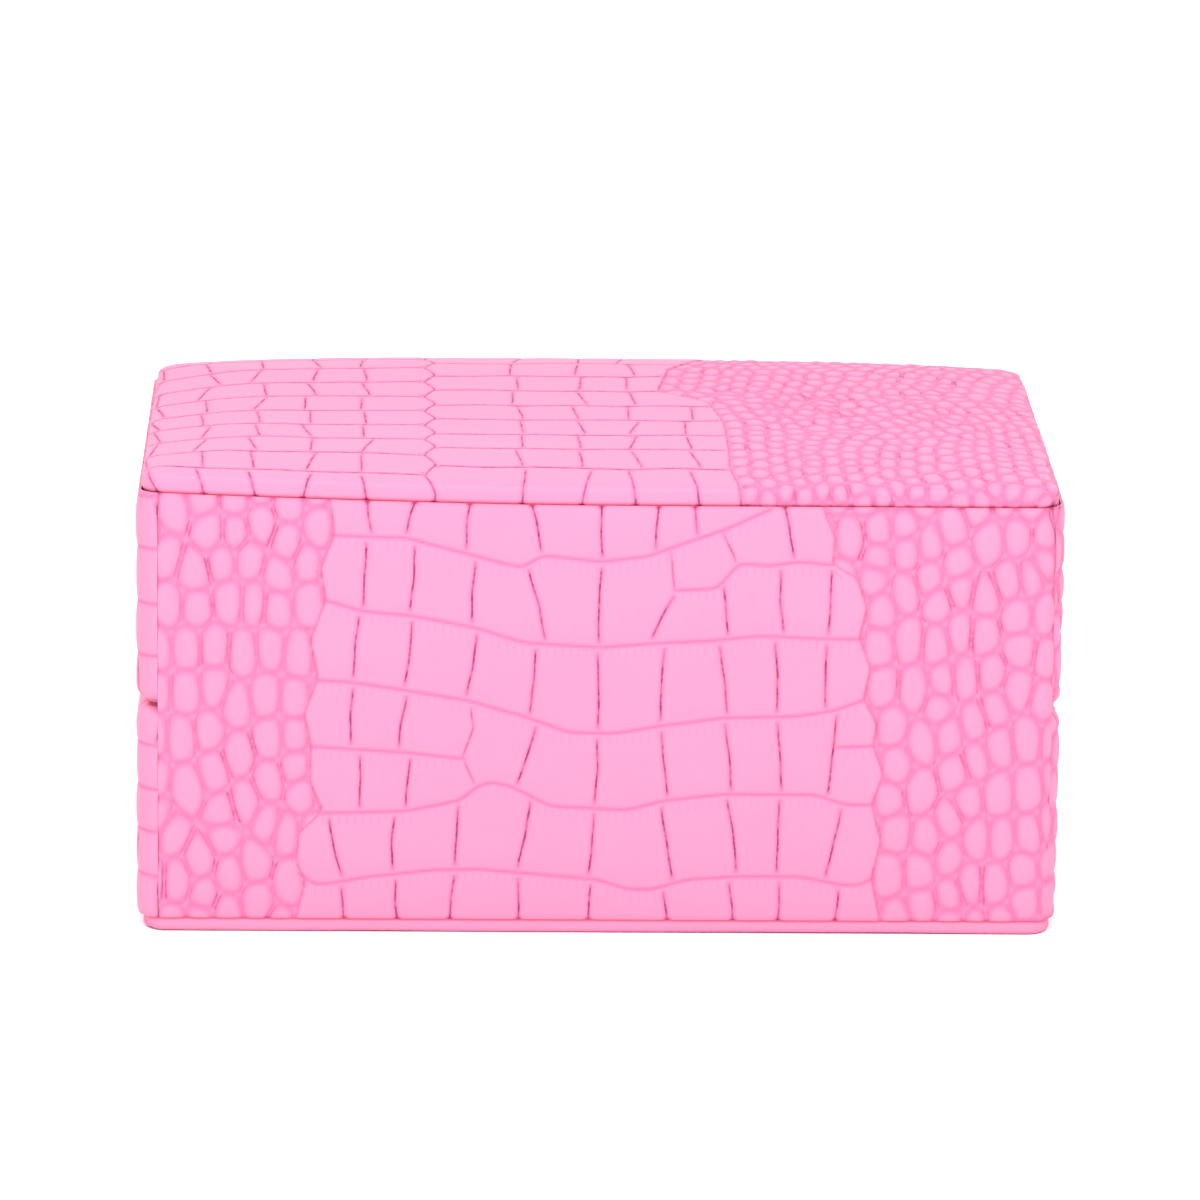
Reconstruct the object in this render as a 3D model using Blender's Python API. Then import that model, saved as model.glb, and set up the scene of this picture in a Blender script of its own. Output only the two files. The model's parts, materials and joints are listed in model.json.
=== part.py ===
"""Crocodile-embossed leather jewellery case: a wrapped base and lid joined by a leather back,
with a velvet interior, a lift-out tray, a mirror and a push-button lock.

Metres, +Z up. The front, with the lock, faces -Y and the leather hinge is at +Y.
The origin is the middle of the underside.
"""

import math

import bmesh
import bpy
from mathutils import Vector

MM = 0.001

# ---- Overall sizes
CASE_WIDTH = 198.6 * MM  # X, over the leather of the side walls
CASE_DEPTH = 124.0 * MM  # Y, over the leather of the front and back walls
SPLIT_HEIGHT = 50.0 * MM  # where lid and base meet, and the height of the hinge
LID_HEIGHT = 45.0 * MM  # from the split up to the underside of the top cover
GAP = 0.3 * MM  # glue line, or clearance between pieces that only touch

# ---- Walls, from the inner face of the frame outwards
FRAME_WALL = 4.2 * MM  # fibreboard
WALL_SKIN = 1.2 * MM  # leather with its thin padding
RIM_ROUND = 4.0 * MM  # outer radius of the padded edges where lid and base meet
RIM_STEPS = 4
LINING = 0.8 * MM  # velvet paper on the inner faces
WALL_STACK = FRAME_WALL + GAP + WALL_SKIN
INNER_X = CASE_WIDTH / 2 - WALL_STACK  # half sizes of the space inside the frame
INNER_Y = CASE_DEPTH / 2 - WALL_STACK

# ---- Leather back, which runs round the corners to its two cut edges
BACK_WRAP_LEFT = 38.0  # degrees round the corner at -X
BACK_WRAP_RIGHT = 9.0  # degrees round the corner at +X
CUT_EDGE = 4.0  # degrees left open beside a cut edge
HINGE_FOLD = 0.9 * MM  # the strip of the back that bends
ARC_STEPS = 6  # faces in a quarter turn

# ---- Top and bottom covers
COVER_INSET_X = 1.3 * MM  # how far the covers stay inside the padded walls
COVER_INSET_Y = 0.9 * MM
COVER_RADIUS = 5.0 * MM
INNER_RADIUS = 0.2 * MM  # the least radius of an outline far in from the edge
COVER_SKIN = 1.0 * MM
BOTTOM_COVER = 3.2 * MM  # thickness over the leather
BOTTOM_ROUND = 0.9 * MM
TOP_BOARD = 2.2 * MM
TOP_EDGE = 4.2 * MM  # height of the rolled edge of the top cover
TOP_ROUND = 1.4 * MM
SHOULDER = 2.2 * MM  # distance from the edge to where the crown begins
CROWN = 2.4 * MM  # how far the foam lifts the middle of the top
CROWN_REACH = 26.0 * MM  # distance from the edge to the flat of the crown
CROWN_STEPS = 4
BASE_FLOOR = BOTTOM_COVER + GAP
LID_CEILING = SPLIT_HEIGHT + LID_HEIGHT
COVER_X = CASE_WIDTH / 2 - COVER_INSET_X
COVER_Y = CASE_DEPTH / 2 - COVER_INSET_Y

# ---- Inside the base
FLOOR_PAD = 3.0 * MM
LEDGE_WALL = 3.0 * MM
LOWER_DIVIDER = 2.0 * MM
LOWER_DIVIDER_DROP = 1.0 * MM  # dividers end this far under the tray

# ---- Tray
TRAY_PLAY = 0.5 * MM  # between tray and lining, each side
TRAY_WALL = 2.4 * MM
TRAY_FLOOR = 2.0 * MM
TRAY_HEIGHT = 22.0 * MM
TRAY_RIM_DROP = 2.7 * MM  # from the split down to the tray's top
TRAY_ROUND = 0.7 * MM
DIVIDER_ROUND = 0.5 * MM
PAD_ROUND = 0.8 * MM
TRAY_DIVIDER = 2.0 * MM
TRAY_DIVIDER_DROP = 2.0 * MM
RING_ROLLS = 7
ROLL_LENGTH = 80.0 * MM
ROLL_HEIGHT = 15.0 * MM
ROLL_STEPS = 10
CROSS_DIVIDER_Y = 6.0 * MM
TAB_WIDTH = 12.0 * MM
TAB_THICK = 0.8 * MM
TAB_RISE = 3.0 * MM

# ---- Inside the lid
LID_PANEL = 2.4 * MM
MIRROR_BORDER_X = 27.5 * MM  # from the lining to the edge of the glass
MIRROR_BORDER_Y = 17.2 * MM
MIRROR_THICK = 2.0 * MM
BEZEL_WIDTH = 8.0 * MM
BEZEL_LIP = 1.2 * MM  # thickness of the lip in front of the glass
BEZEL_COVER = 4.0 * MM  # how far the lip covers the glass
BEZEL_ROUND = 1.0 * MM

# ---- Push-button lock on the front. Depths are counted forwards from the lock's back plate.
LOCK_PLATE_THICK = 0.8 * MM
LOCK_WING = 6.0 * MM  # the plate at each side of the lock case
LOCK_WIDTH = 26.0 * MM
LOCK_TOP_DROP = 2.0 * MM  # from the split down to the top of the lock case
LOCK_WALL = 0.8 * MM
LOCK_ROUND = 0.6 * MM
PLATE_ROUND = 0.25 * MM
PUSH_TRAVEL = 1.5 * MM
BUTTON_RADIUS = 3.8 * MM
BUTTON_CLEARANCE = 0.2 * MM
BUTTON_PROUD = 2.0 * MM
BUTTON_DOME = 0.5 * MM
FLANGE_RIM = 0.8 * MM  # how far the flange that holds the button in is wider than the button
FLANGE_THICK = 0.6 * MM
BUTTON_SHANK = 2.0 * MM
LATCH_WIDTH = 8.0 * MM
LATCH_THICK = 0.6 * MM
LATCH_STOP = 0.4 * MM  # left behind the latch plate when the button is pushed in
LATCH_ENDS = 1.0 * MM  # the latch plate beyond the shank below and beyond the tooth above
TONGUE_WIDTH = 9.0 * MM
TONGUE_THICK = 1.0 * MM
TONGUE_GAP = 1.3 * MM  # between the latch plate and the tongue
TONGUE_REACH = 6.4 * MM  # how far the tongue enters the lock case
TONGUE_OVER_FLANGE = 0.9 * MM
TONGUE_TIP = 1.2 * MM  # metal below the eye
EYE_WIDTH = 5.0 * MM
EYE_HEIGHT = 3.0 * MM
TOOTH_CLEARANCE = 0.6 * MM  # all round the tooth in the eye
TOOTH_REACH = 0.6 * MM  # how far the tooth enters the eye
SLOT_CLEARANCE = 0.6 * MM
STRIKE_WIDTH = 26.0 * MM
STRIKE_THICK = 1.0 * MM
STRIKE_HEIGHT = 12.4 * MM
STRIKE_RISE = 1.6 * MM  # from the split up to the strike plate
STRIKE_RIVET_EDGE = 3.6 * MM  # from the edges of the strike plate to its rivets
SPRING_WIRE = 0.2 * MM
SPRING_TAPER = 0.5
SPRING_TURNS = 2.5
SPRING_POINTS_PER_TURN = 12
RIVET_RADIUS = 1.6 * MM
RIVET_HEAD = 0.9 * MM
JOIN = 0.2 * MM  # how far shapes that become one piece reach into each other
CUTTER_EXTRA = 1.0 * MM

BUTTON_FLANGE = BUTTON_RADIUS + FLANGE_RIM
LATCH_BACK = PUSH_TRAVEL + LATCH_STOP
LATCH_FRONT = LATCH_BACK + LATCH_THICK
TONGUE_BACK = LATCH_FRONT + TONGUE_GAP
FLANGE_BACK = TONGUE_BACK + TONGUE_THICK + GAP
FLANGE_FRONT = FLANGE_BACK + FLANGE_THICK
LOCK_FRONT = FLANGE_FRONT + GAP + LOCK_WALL
LOCK_HEIGHT = TONGUE_REACH + TONGUE_OVER_FLANGE + 2 * BUTTON_FLANGE + GAP + LOCK_WALL
EYE_DROP = TONGUE_REACH - TONGUE_TIP - EYE_HEIGHT / 2  # from the lock's top to the eye's middle

# ---- Where the moving pieces are at rest
HINGE_Y = CASE_DEPTH / 2  # the outer face of the back leather
TRAY_LEVEL = SPLIT_HEIGHT - TRAY_RIM_DROP - TRAY_HEIGHT - GAP  # top of the ledges
LOCK_TOP = SPLIT_HEIGHT - LOCK_TOP_DROP
BUTTON_Z = LOCK_TOP - LOCK_HEIGHT + LOCK_WALL + GAP + BUTTON_FLANGE
PLATE_Y = -CASE_DEPTH / 2 - GAP  # the back of the plates on the front leather
LOCK_FACE_Y = PLATE_Y - LOCK_PLATE_THICK


def clear_scene():
    for old in list(bpy.data.objects):
        bpy.data.objects.remove(old)


def material(name, colour, roughness, metallic=0.0):
    made = bpy.data.materials.new(name)
    made.use_nodes = True
    shader = made.node_tree.nodes["Principled BSDF"]
    shader.inputs["Base Color"].default_value = (*colour, 1.0)
    shader.inputs["Roughness"].default_value = roughness
    shader.inputs["Metallic"].default_value = metallic
    made.diffuse_color = (*colour, 1.0)
    return made


def empty(name, location):
    made = bpy.data.objects.new(name, None)
    made.location = location
    bpy.context.scene.collection.objects.link(made)
    return made


def add(name, mesh_data, finish, parent, location):
    """One named piece whose own origin is at location, given in the case's frame."""
    made = bpy.data.objects.new(name, mesh_data)
    made.data.materials.append(finish)
    made.parent = parent
    made.location = Vector(location) - parent.location
    bpy.context.scene.collection.objects.link(made)
    return made


def mesh_of(name, bm):
    bmesh.ops.recalc_face_normals(bm, faces=bm.faces)
    data = bpy.data.meshes.new(name)
    bm.to_mesh(data)
    bm.free()
    return data


def bevel(piece, width, segments=2):
    made = piece.modifiers.new("rounding", "BEVEL")
    made.width = width
    made.segments = segments
    made.limit_method = "ANGLE"


def box(name, size, centre, finish, parent, rounding=0.0):
    bm = bmesh.new()
    bmesh.ops.create_cube(bm, size=1.0)
    bmesh.ops.scale(bm, vec=Vector(size), verts=bm.verts)
    piece = add(name, mesh_of(name, bm), finish, parent, centre)
    if rounding:
        bevel(piece, rounding)
    return piece


def cylinder_along_y(name, radius, length, centre, finish, parent, segments=24):
    bm = bmesh.new()
    bmesh.ops.create_cone(
        bm, cap_ends=True, segments=segments, radius1=radius, radius2=radius, depth=length
    )
    data = mesh_of(name, bm)
    data.shade_smooth()
    data.set_sharp_from_angle(angle=math.radians(40))
    piece = add(name, data, finish, parent, centre)
    piece.rotation_euler.x = math.radians(90)
    return piece


def cut(piece, cutter):
    cutter.hide_render = True
    cutter.display_type = "WIRE"
    made = piece.modifiers.new("cut by " + cutter.name, "BOOLEAN")
    made.operation = "DIFFERENCE"
    made.solver = "EXACT"
    made.object = cutter


def loft(name, rings, finish, parent, closed=False):
    """Joins rings of equally many points. The first and last are joined if closed, or else capped."""
    bm = bmesh.new()
    rows = [[bm.verts.new(point) for point in ring] for ring in rings]
    count = len(rows[0])
    pairs = list(zip(rows, rows[1:]))
    if closed:
        pairs.append((rows[-1], rows[0]))
    else:
        bm.faces.new(rows[0])
        bm.faces.new(rows[-1])
    for low, high in pairs:
        for i in range(count):
            j = (i + 1) % count
            bm.faces.new((low[i], low[j], high[j], high[i]))
    bmesh.ops.remove_doubles(bm, verts=bm.verts, dist=1e-6)
    return add(name, mesh_of(name, bm), finish, parent, (0, 0, 0))


# ---- Paths round the walls. A path point is (x, y, outward x, outward y).


def corner_arc(corner_x, corner_y, start, end):
    """Path points round one corner of the frame, from one direction to another in degrees."""
    steps = max(1, round(abs(end - start) / 90 * ARC_STEPS))
    angles = [math.radians(start + (end - start) * i / steps) for i in range(steps + 1)]
    return [(corner_x, corner_y, math.cos(a), math.sin(a)) for a in angles]


def mitred_path(half_x, half_y):
    """The four corners of a rectangle, each moving along its diagonal as it is offset."""
    signs = ((1, 1), (-1, 1), (-1, -1), (1, -1))
    return [(sx * half_x, sy * half_y, sx, sy) for sx, sy in signs]


def sweep(name, path, section, finish, parent, closed=False):
    """Carries a section of (outward, height) points along a path."""
    rings = [[(x + n * nx, y + n * ny, z) for n, z in section] for x, y, nx, ny in path]
    return loft(name, rings, finish, parent, closed)


def rectangle(n0, n1, z0, z1):
    return [(n0, z0), (n1, z0), (n1, z1), (n0, z1)]


def frame_wall_path(side):
    """Half a corner, a straight wall and half a corner. Side 0 is the right wall, then back, left, front."""
    turned = math.radians(90 * side)
    half_along, half_out = (INNER_Y, INNER_X) if side % 2 == 0 else (INNER_X, INNER_Y)
    along = half_along - GAP
    path = []
    for start, end, sign in ((-45, 0, -1), (0, 45, 1)):
        for x, y, nx, ny in corner_arc(half_out, sign * along, start, end):
            path.append(
                (
                    x * math.cos(turned) - y * math.sin(turned),
                    x * math.sin(turned) + y * math.cos(turned),
                    nx * math.cos(turned) - ny * math.sin(turned),
                    nx * math.sin(turned) + ny * math.cos(turned),
                )
            )
    return path


def wrap_path():
    """The side leather: from one cut edge, round the left, front and right walls, to the other."""
    return (
        corner_arc(-INNER_X, INNER_Y, 90 + BACK_WRAP_LEFT + CUT_EDGE, 180)
        + corner_arc(-INNER_X, -INNER_Y, 180, 270)
        + corner_arc(INNER_X, -INNER_Y, 270, 360)
        + corner_arc(INNER_X, INNER_Y, 360, 450 - BACK_WRAP_RIGHT - CUT_EDGE)
    )


def back_path():
    return corner_arc(INNER_X, INNER_Y, 90 - BACK_WRAP_RIGHT, 90) + corner_arc(
        -INNER_X, INNER_Y, 90, 90 + BACK_WRAP_LEFT
    )


def rounded_outline(inset, z):
    """The outline of a cover at a height, moved in from its edge. Its corners keep a small radius."""
    radius = max(COVER_RADIUS - inset, INNER_RADIUS)
    half_x = COVER_X - inset - radius
    half_y = COVER_Y - inset - radius
    outline = []
    for turn, (sx, sy) in enumerate(((1, 1), (-1, 1), (-1, -1), (1, -1))):
        for i in range(ARC_STEPS + 1):
            a = math.radians(90 * turn + 90 * i / ARC_STEPS)
            x = sx * half_x + radius * math.cos(a)
            y = sy * half_y + radius * math.sin(a)
            outline.append((x, y, z))
    return outline


def crown_height(inset):
    """Height of the top surface over its rolled edge, at a distance in from that edge."""
    share = min(1.0, inset / CROWN_REACH)
    return CROWN * math.sin(share * math.pi / 2)


# ---- Pieces of one half of the case


def rim_arc(depth, z_rim, up):
    """The rounding of a rim, at a depth under the leather's outer face, from its flat to its wall."""
    radius = RIM_ROUND - depth
    centre_n = WALL_STACK - RIM_ROUND
    centre_z = z_rim + up * RIM_ROUND
    angles = [math.radians(90 * i / RIM_STEPS) for i in range(RIM_STEPS + 1)]
    return [(centre_n + radius * math.sin(a), centre_z - up * radius * math.cos(a)) for a in angles]


def frame_walls(prefix, z_rim, z_far, finish, parent):
    """Four boards with a rounded rim, which may be their top or their bottom edge."""
    up = 1 if z_far > z_rim else -1
    flat_z = z_rim + up * (WALL_SKIN + GAP)
    section = [(0.0, flat_z)] + rim_arc(WALL_SKIN + GAP, z_rim, up)
    section += [(FRAME_WALL, z_far), (0.0, z_far)]
    for side, word in enumerate(("right", "back", "left", "front")):
        sweep(f"{prefix}_frame_{word}", frame_wall_path(side), section, finish, parent)


def side_wrap(name, z_rim, z_far, finish, parent):
    """Leather on the outer faces of a frame, turned in over its rim."""
    up = 1 if z_far > z_rim else -1
    section = [(GAP, z_rim)] + rim_arc(0.0, z_rim, up)
    section += [(WALL_STACK, z_far), (WALL_STACK - WALL_SKIN, z_far)]
    section += rim_arc(WALL_SKIN, z_rim, up)[::-1] + [(GAP, z_rim + up * WALL_SKIN)]
    sweep(name, wrap_path(), section, finish, parent)


def back_leather(name, z0, z1, finish, parent):
    inner = FRAME_WALL + GAP
    sweep(name, back_path(), rectangle(inner, inner + WALL_SKIN, z0, z1), finish, parent)


def rim_tape(name, z0, z1, finish, parent):
    """Flat strip on the rim of a back wall, between the turned-in ends of the side leather."""
    length = 2 * (INNER_X - GAP)
    width = FRAME_WALL - GAP
    centre = (0, INNER_Y + FRAME_WALL / 2, (z0 + z1) / 2)
    box(name, (length, width, z1 - z0), centre, finish, parent)


def wall_lining(name, z0, z1, finish, parent):
    path = mitred_path(INNER_X - GAP, INNER_Y - GAP)
    sweep(name, path, rectangle(-LINING, 0.0, z0, z1), finish, parent, closed=True)


# ---- Base


def build_base(case, finishes):
    leather, board, velvet = finishes["leather"], finishes["fibreboard"], finishes["velvet"]
    rim = SPLIT_HEIGHT - GAP / 2
    frame_top = rim - WALL_SKIN - GAP

    outside = [
        rounded_outline(0.0, BOTTOM_COVER),
        rounded_outline(0.0, BOTTOM_ROUND),
        rounded_outline(BOTTOM_ROUND * 0.3, BOTTOM_ROUND * 0.3),
        rounded_outline(BOTTOM_ROUND, 0.0),
    ]
    inside = [
        rounded_outline(COVER_SKIN, BOTTOM_COVER),
        rounded_outline(COVER_SKIN, COVER_SKIN),
    ]
    loft("bottom_leather", outside[::-1] + inside, leather, case)
    board_inset = COVER_SKIN + GAP
    loft(
        "bottom_board",
        [rounded_outline(board_inset, z) for z in (COVER_SKIN + GAP, BOTTOM_COVER)],
        board,
        case,
    )

    frame_walls("base", rim, BASE_FLOOR, board, case)
    side_wrap("base_side_leather", rim, BASE_FLOOR, leather, case)
    back_leather("back_leather_lower", BASE_FLOOR, SPLIT_HEIGHT - HINGE_FOLD / 2 - GAP, leather, case)
    back_leather(
        "back_leather_fold",
        SPLIT_HEIGHT - HINGE_FOLD / 2,
        SPLIT_HEIGHT + HINGE_FOLD / 2,
        leather,
        case,
    )
    rim_tape("hinge_tape_lower", rim - WALL_SKIN, rim, leather, case)
    wall_lining("base_lining", BASE_FLOOR, frame_top, velvet, case)
    build_base_floor(case, finishes)


def build_base_floor(case, finishes):
    """Padded floor, the ledges that carry the tray, and the dividers under it."""
    velvet = finishes["velvet"]
    half_x = INNER_X - 2 * GAP - LINING
    half_y = INNER_Y - 2 * GAP - LINING
    pad_top = BASE_FLOOR + FLOOR_PAD
    box(
        "base_floor_pad",
        (2 * half_x, 2 * half_y, FLOOR_PAD),
        (0, 0, BASE_FLOOR + FLOOR_PAD / 2),
        velvet,
        case,
        rounding=PAD_ROUND,
    )
    low = pad_top + GAP
    high = TRAY_LEVEL
    for word, sign in (("front", -1), ("back", 1)):
        centre = (0, sign * (half_y - LEDGE_WALL / 2), (low + high) / 2)
        box(f"tray_ledge_{word}", (2 * half_x, LEDGE_WALL, high - low), centre, velvet, case)
    between_y = 2 * (half_y - LEDGE_WALL - GAP)
    for word, sign in (("left", -1), ("right", 1)):
        centre = (sign * (half_x - LEDGE_WALL / 2), 0, (low + high) / 2)
        box(f"tray_ledge_{word}", (LEDGE_WALL, between_y, high - low), centre, velvet, case)
        divider_top = high - LOWER_DIVIDER_DROP
        divider_x = sign * (half_x - LEDGE_WALL) / 3
        box(
            f"lower_divider_{word}",
            (LOWER_DIVIDER, between_y, divider_top - low),
            (divider_x, 0, (low + divider_top) / 2),
            velvet,
            case,
            rounding=DIVIDER_ROUND,
        )


# ---- Lid


def build_lid(lid, finishes):
    leather, board, velvet = finishes["leather"], finishes["fibreboard"], finishes["velvet"]
    rim = SPLIT_HEIGHT + GAP / 2
    frame_low = rim + WALL_SKIN + GAP
    frame_high = LID_CEILING - GAP
    frame_walls("lid", rim, frame_high, board, lid)
    side_wrap("lid_side_leather", rim, frame_high, leather, lid)
    back_leather(
        "back_leather_upper", SPLIT_HEIGHT + HINGE_FOLD / 2 + GAP, frame_high, leather, lid
    )
    rim_tape("hinge_tape_upper", rim, rim + WALL_SKIN, leather, lid)
    panel_low = frame_high - LID_PANEL
    wall_lining("lid_lining", frame_low, panel_low - GAP, velvet, lid)
    box(
        "lid_inner_panel",
        (2 * (INNER_X - GAP), 2 * (INNER_Y - GAP), LID_PANEL),
        (0, 0, panel_low + LID_PANEL / 2),
        velvet,
        lid,
        rounding=PAD_ROUND,
    )
    build_top_cover(lid, finishes)
    build_mirror(lid, finishes, panel_low - GAP)


def build_top_cover(lid, finishes):
    """Board, crowned foam and the leather over both. The leather covers the board's edges."""
    low = LID_CEILING
    edge = low + TOP_EDGE
    board_inset = COVER_SKIN + GAP
    loft(
        "top_board",
        [rounded_outline(board_inset, z) for z in (low, low + TOP_BOARD)],
        finishes["fibreboard"],
        lid,
    )
    insets = [SHOULDER] + [CROWN_REACH * i / CROWN_STEPS for i in range(1, CROWN_STEPS + 1)]
    foam_low = low + TOP_BOARD + GAP
    under_skin = COVER_SKIN + GAP
    foam_edge = edge - TOP_ROUND - GAP
    foam = [rounded_outline(board_inset, foam_low), rounded_outline(board_inset, foam_edge)]
    foam += [rounded_outline(i, edge + crown_height(i) - under_skin) for i in insets]
    loft("top_foam", foam, finishes["foam"], lid)
    outside = [
        rounded_outline(0.0, low),
        rounded_outline(0.0, edge - TOP_ROUND),
        rounded_outline(TOP_ROUND * 0.3, edge - TOP_ROUND * 0.3),
        rounded_outline(TOP_ROUND, edge),
    ]
    outside += [rounded_outline(i, edge + crown_height(i)) for i in insets]
    inside = [
        rounded_outline(COVER_SKIN, low),
        rounded_outline(COVER_SKIN, edge - TOP_ROUND),
    ]
    inside += [rounded_outline(i, edge + crown_height(i) - COVER_SKIN) for i in insets]
    loft("top_leather", outside[::-1] + inside, finishes["leather"], lid)


def build_mirror(lid, finishes, ceiling):
    """Glass on the lid's panel, held by a velvet bezel whose lip covers its edges."""
    half_x = INNER_X - GAP - LINING - MIRROR_BORDER_X
    half_y = INNER_Y - GAP - LINING - MIRROR_BORDER_Y
    glass_low = ceiling - MIRROR_THICK
    box(
        "mirror_glass",
        (2 * half_x, 2 * half_y, MIRROR_THICK),
        (0, 0, glass_low + MIRROR_THICK / 2),
        finishes["mirror"],
        lid,
    )
    lip_high = glass_low - GAP
    lip_low = lip_high - BEZEL_LIP
    section = [
        (-BEZEL_COVER, lip_low),
        (BEZEL_WIDTH - BEZEL_ROUND, lip_low),
        (BEZEL_WIDTH, lip_low + BEZEL_ROUND),
        (BEZEL_WIDTH, ceiling),
        (GAP, ceiling),
        (GAP, lip_high),
        (-BEZEL_COVER, lip_high),
    ]
    path = mitred_path(half_x, half_y)
    sweep("mirror_bezel", path, section, finishes["velvet"], lid, closed=True)


# ---- Tray


def build_tray(tray, finishes):
    velvet = finishes["velvet"]
    half_x = INNER_X - GAP - LINING - TRAY_PLAY
    half_y = INNER_Y - GAP - LINING - TRAY_PLAY
    low = TRAY_LEVEL + GAP
    high = low + TRAY_HEIGHT
    room_x = half_x - TRAY_WALL - GAP
    room_y = half_y - TRAY_WALL - GAP
    floor_top = low + TRAY_FLOOR
    box(
        "tray_floor",
        (2 * room_x, 2 * room_y, TRAY_FLOOR),
        (0, 0, low + TRAY_FLOOR / 2),
        velvet,
        tray,
    )
    middle = (low + high) / 2
    for word, sign in (("front", -1), ("back", 1)):
        centre = (0, sign * (half_y - TRAY_WALL / 2), middle)
        size = (2 * half_x, TRAY_WALL, TRAY_HEIGHT)
        box(f"tray_{word}", size, centre, velvet, tray, rounding=TRAY_ROUND)
    for word, sign in (("left", -1), ("right", 1)):
        centre = (sign * (half_x - TRAY_WALL / 2), 0, middle)
        size = (TRAY_WALL, 2 * room_y, TRAY_HEIGHT)
        box(f"tray_{word}", size, centre, velvet, tray, rounding=TRAY_ROUND)
        tab_size = (TAB_THICK, TAB_WIDTH, TRAY_HEIGHT - TRAY_FLOOR + TAB_RISE - GAP)
        tab_x = sign * (room_x - TAB_THICK / 2)
        tab_z = high + TAB_RISE - tab_size[2] / 2
        box(f"tray_tab_{word}", tab_size, (tab_x, 0, tab_z), finishes["ribbon"], tray)

    roll_room = ROLL_LENGTH + 2 * GAP + TAB_THICK
    divider_x = -room_x + roll_room + TRAY_DIVIDER / 2
    divider_low = floor_top + GAP
    divider_high = high - TRAY_DIVIDER_DROP
    divider_z = (divider_low + divider_high) / 2
    divider_height = divider_high - divider_low
    size = (TRAY_DIVIDER, 2 * room_y, divider_height)
    centre = (divider_x, 0, divider_z)
    box("tray_divider_main", size, centre, velvet, tray, rounding=DIVIDER_ROUND)
    cross_start = divider_x + TRAY_DIVIDER / 2 + GAP
    cross_end = room_x - TAB_THICK - GAP
    middle_x = (cross_start + cross_end) / 2
    size = (cross_end - cross_start, TRAY_DIVIDER, divider_height)
    centre = (middle_x, CROSS_DIVIDER_Y, divider_z)
    box("tray_divider_cross", size, centre, velvet, tray, rounding=DIVIDER_ROUND)
    small_start = CROSS_DIVIDER_Y + TRAY_DIVIDER / 2 + GAP
    size = (TRAY_DIVIDER, room_y - small_start, divider_height)
    centre = (middle_x, (room_y + small_start) / 2, divider_z)
    box("tray_divider_small", size, centre, velvet, tray, rounding=DIVIDER_ROUND)

    roll_start = -room_x + GAP + TAB_THICK
    ring_rolls(roll_start, room_y, floor_top + GAP, velvet, tray)


def ring_rolls(start_x, room_y, low, finish, tray):
    """Foam rolls side by side, flat underneath and round on top. Rings are pushed in between them."""
    pitch = 2 * room_y / RING_ROLLS
    half = pitch / 2 - GAP / 2
    straight = ROLL_HEIGHT - half
    outline = [(-half, 0.0), (half, 0.0)]
    for i in range(ROLL_STEPS + 1):
        a = math.pi * i / ROLL_STEPS
        outline.append((half * math.cos(a), straight + half * math.sin(a)))
    for n in range(RING_ROLLS):
        y = -room_y + pitch * (n + 0.5)
        rings = [[(x, across, up) for across, up in outline] for x in (0.0, ROLL_LENGTH)]
        roll = loft(f"ring_roll_{n + 1}", rings, finish, tray)
        roll.location = Vector((start_x, y, low)) - tray.location


# ---- Lock


def join(piece, shape):
    """Makes a shape part of a piece. The shape itself is only a guide."""
    shape.hide_render = True
    shape.display_type = "WIRE"
    made = piece.modifiers.new("joined with " + shape.name, "BOOLEAN")
    made.operation = "UNION"
    made.solver = "EXACT"
    made.object = shape


def build_lock(case, button, lid, finishes):
    """The lock case on its plate. Its back is open against the plate."""
    gold = finishes["gold"]
    lock_z = LOCK_TOP - LOCK_HEIGHT / 2
    plate_size = (LOCK_WIDTH + 2 * LOCK_WING, LOCK_PLATE_THICK, LOCK_HEIGHT)
    plate_centre = (0, PLATE_Y - LOCK_PLATE_THICK / 2, lock_z)
    box("lock_back_plate", plate_size, plate_centre, gold, case, rounding=PLATE_ROUND)
    for word, sign in (("left", -1), ("right", 1)):
        x = sign * (LOCK_WIDTH + LOCK_WING) / 2
        rivet(f"lock_rivet_{word}", (x, LOCK_FACE_Y, lock_z), gold, case)

    shell_size = (LOCK_WIDTH, LOCK_FRONT - GAP, LOCK_HEIGHT)
    shell_y = LOCK_FACE_Y - (LOCK_FRONT + GAP) / 2
    shell = box("lock_case", shell_size, (0, shell_y, lock_z), gold, case, rounding=LOCK_ROUND)
    hollow_size = (LOCK_WIDTH - 2 * LOCK_WALL, LOCK_FRONT - GAP, LOCK_HEIGHT - 2 * LOCK_WALL)
    hollow_centre = (0, shell_y + LOCK_WALL, lock_z)
    cut(shell, box("lock_hollow_cutter", hollow_size, hollow_centre, gold, case))
    tongue_y = LOCK_FACE_Y - TONGUE_BACK - TONGUE_THICK / 2
    slot_size = (
        TONGUE_WIDTH + 2 * SLOT_CLEARANCE,
        TONGUE_THICK + 2 * SLOT_CLEARANCE,
        2 * LOCK_WALL + CUTTER_EXTRA,
    )
    cut(shell, box("lock_slot_cutter", slot_size, (0, tongue_y, LOCK_TOP), gold, case))
    bore = cylinder_along_y(
        "lock_bore_cutter",
        BUTTON_RADIUS + BUTTON_CLEARANCE,
        2 * LOCK_WALL + CUTTER_EXTRA,
        (0, LOCK_FACE_Y - LOCK_FRONT, BUTTON_Z),
        gold,
        case,
    )
    cut(shell, bore)
    build_button(button, finishes)
    build_spring(case, finishes["steel"])
    build_strike(lid, gold, tongue_y)


def rivet(name, face, finish, parent):
    """A low domed head that stands on a plate's front face."""
    centre = (face[0], face[1] - GAP - RIVET_HEAD / 2, face[2])
    head = cylinder_along_y(name, RIVET_RADIUS, RIVET_HEAD, centre, finish, parent, segments=16)
    bevel(head, RIVET_HEAD * 0.45)


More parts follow.
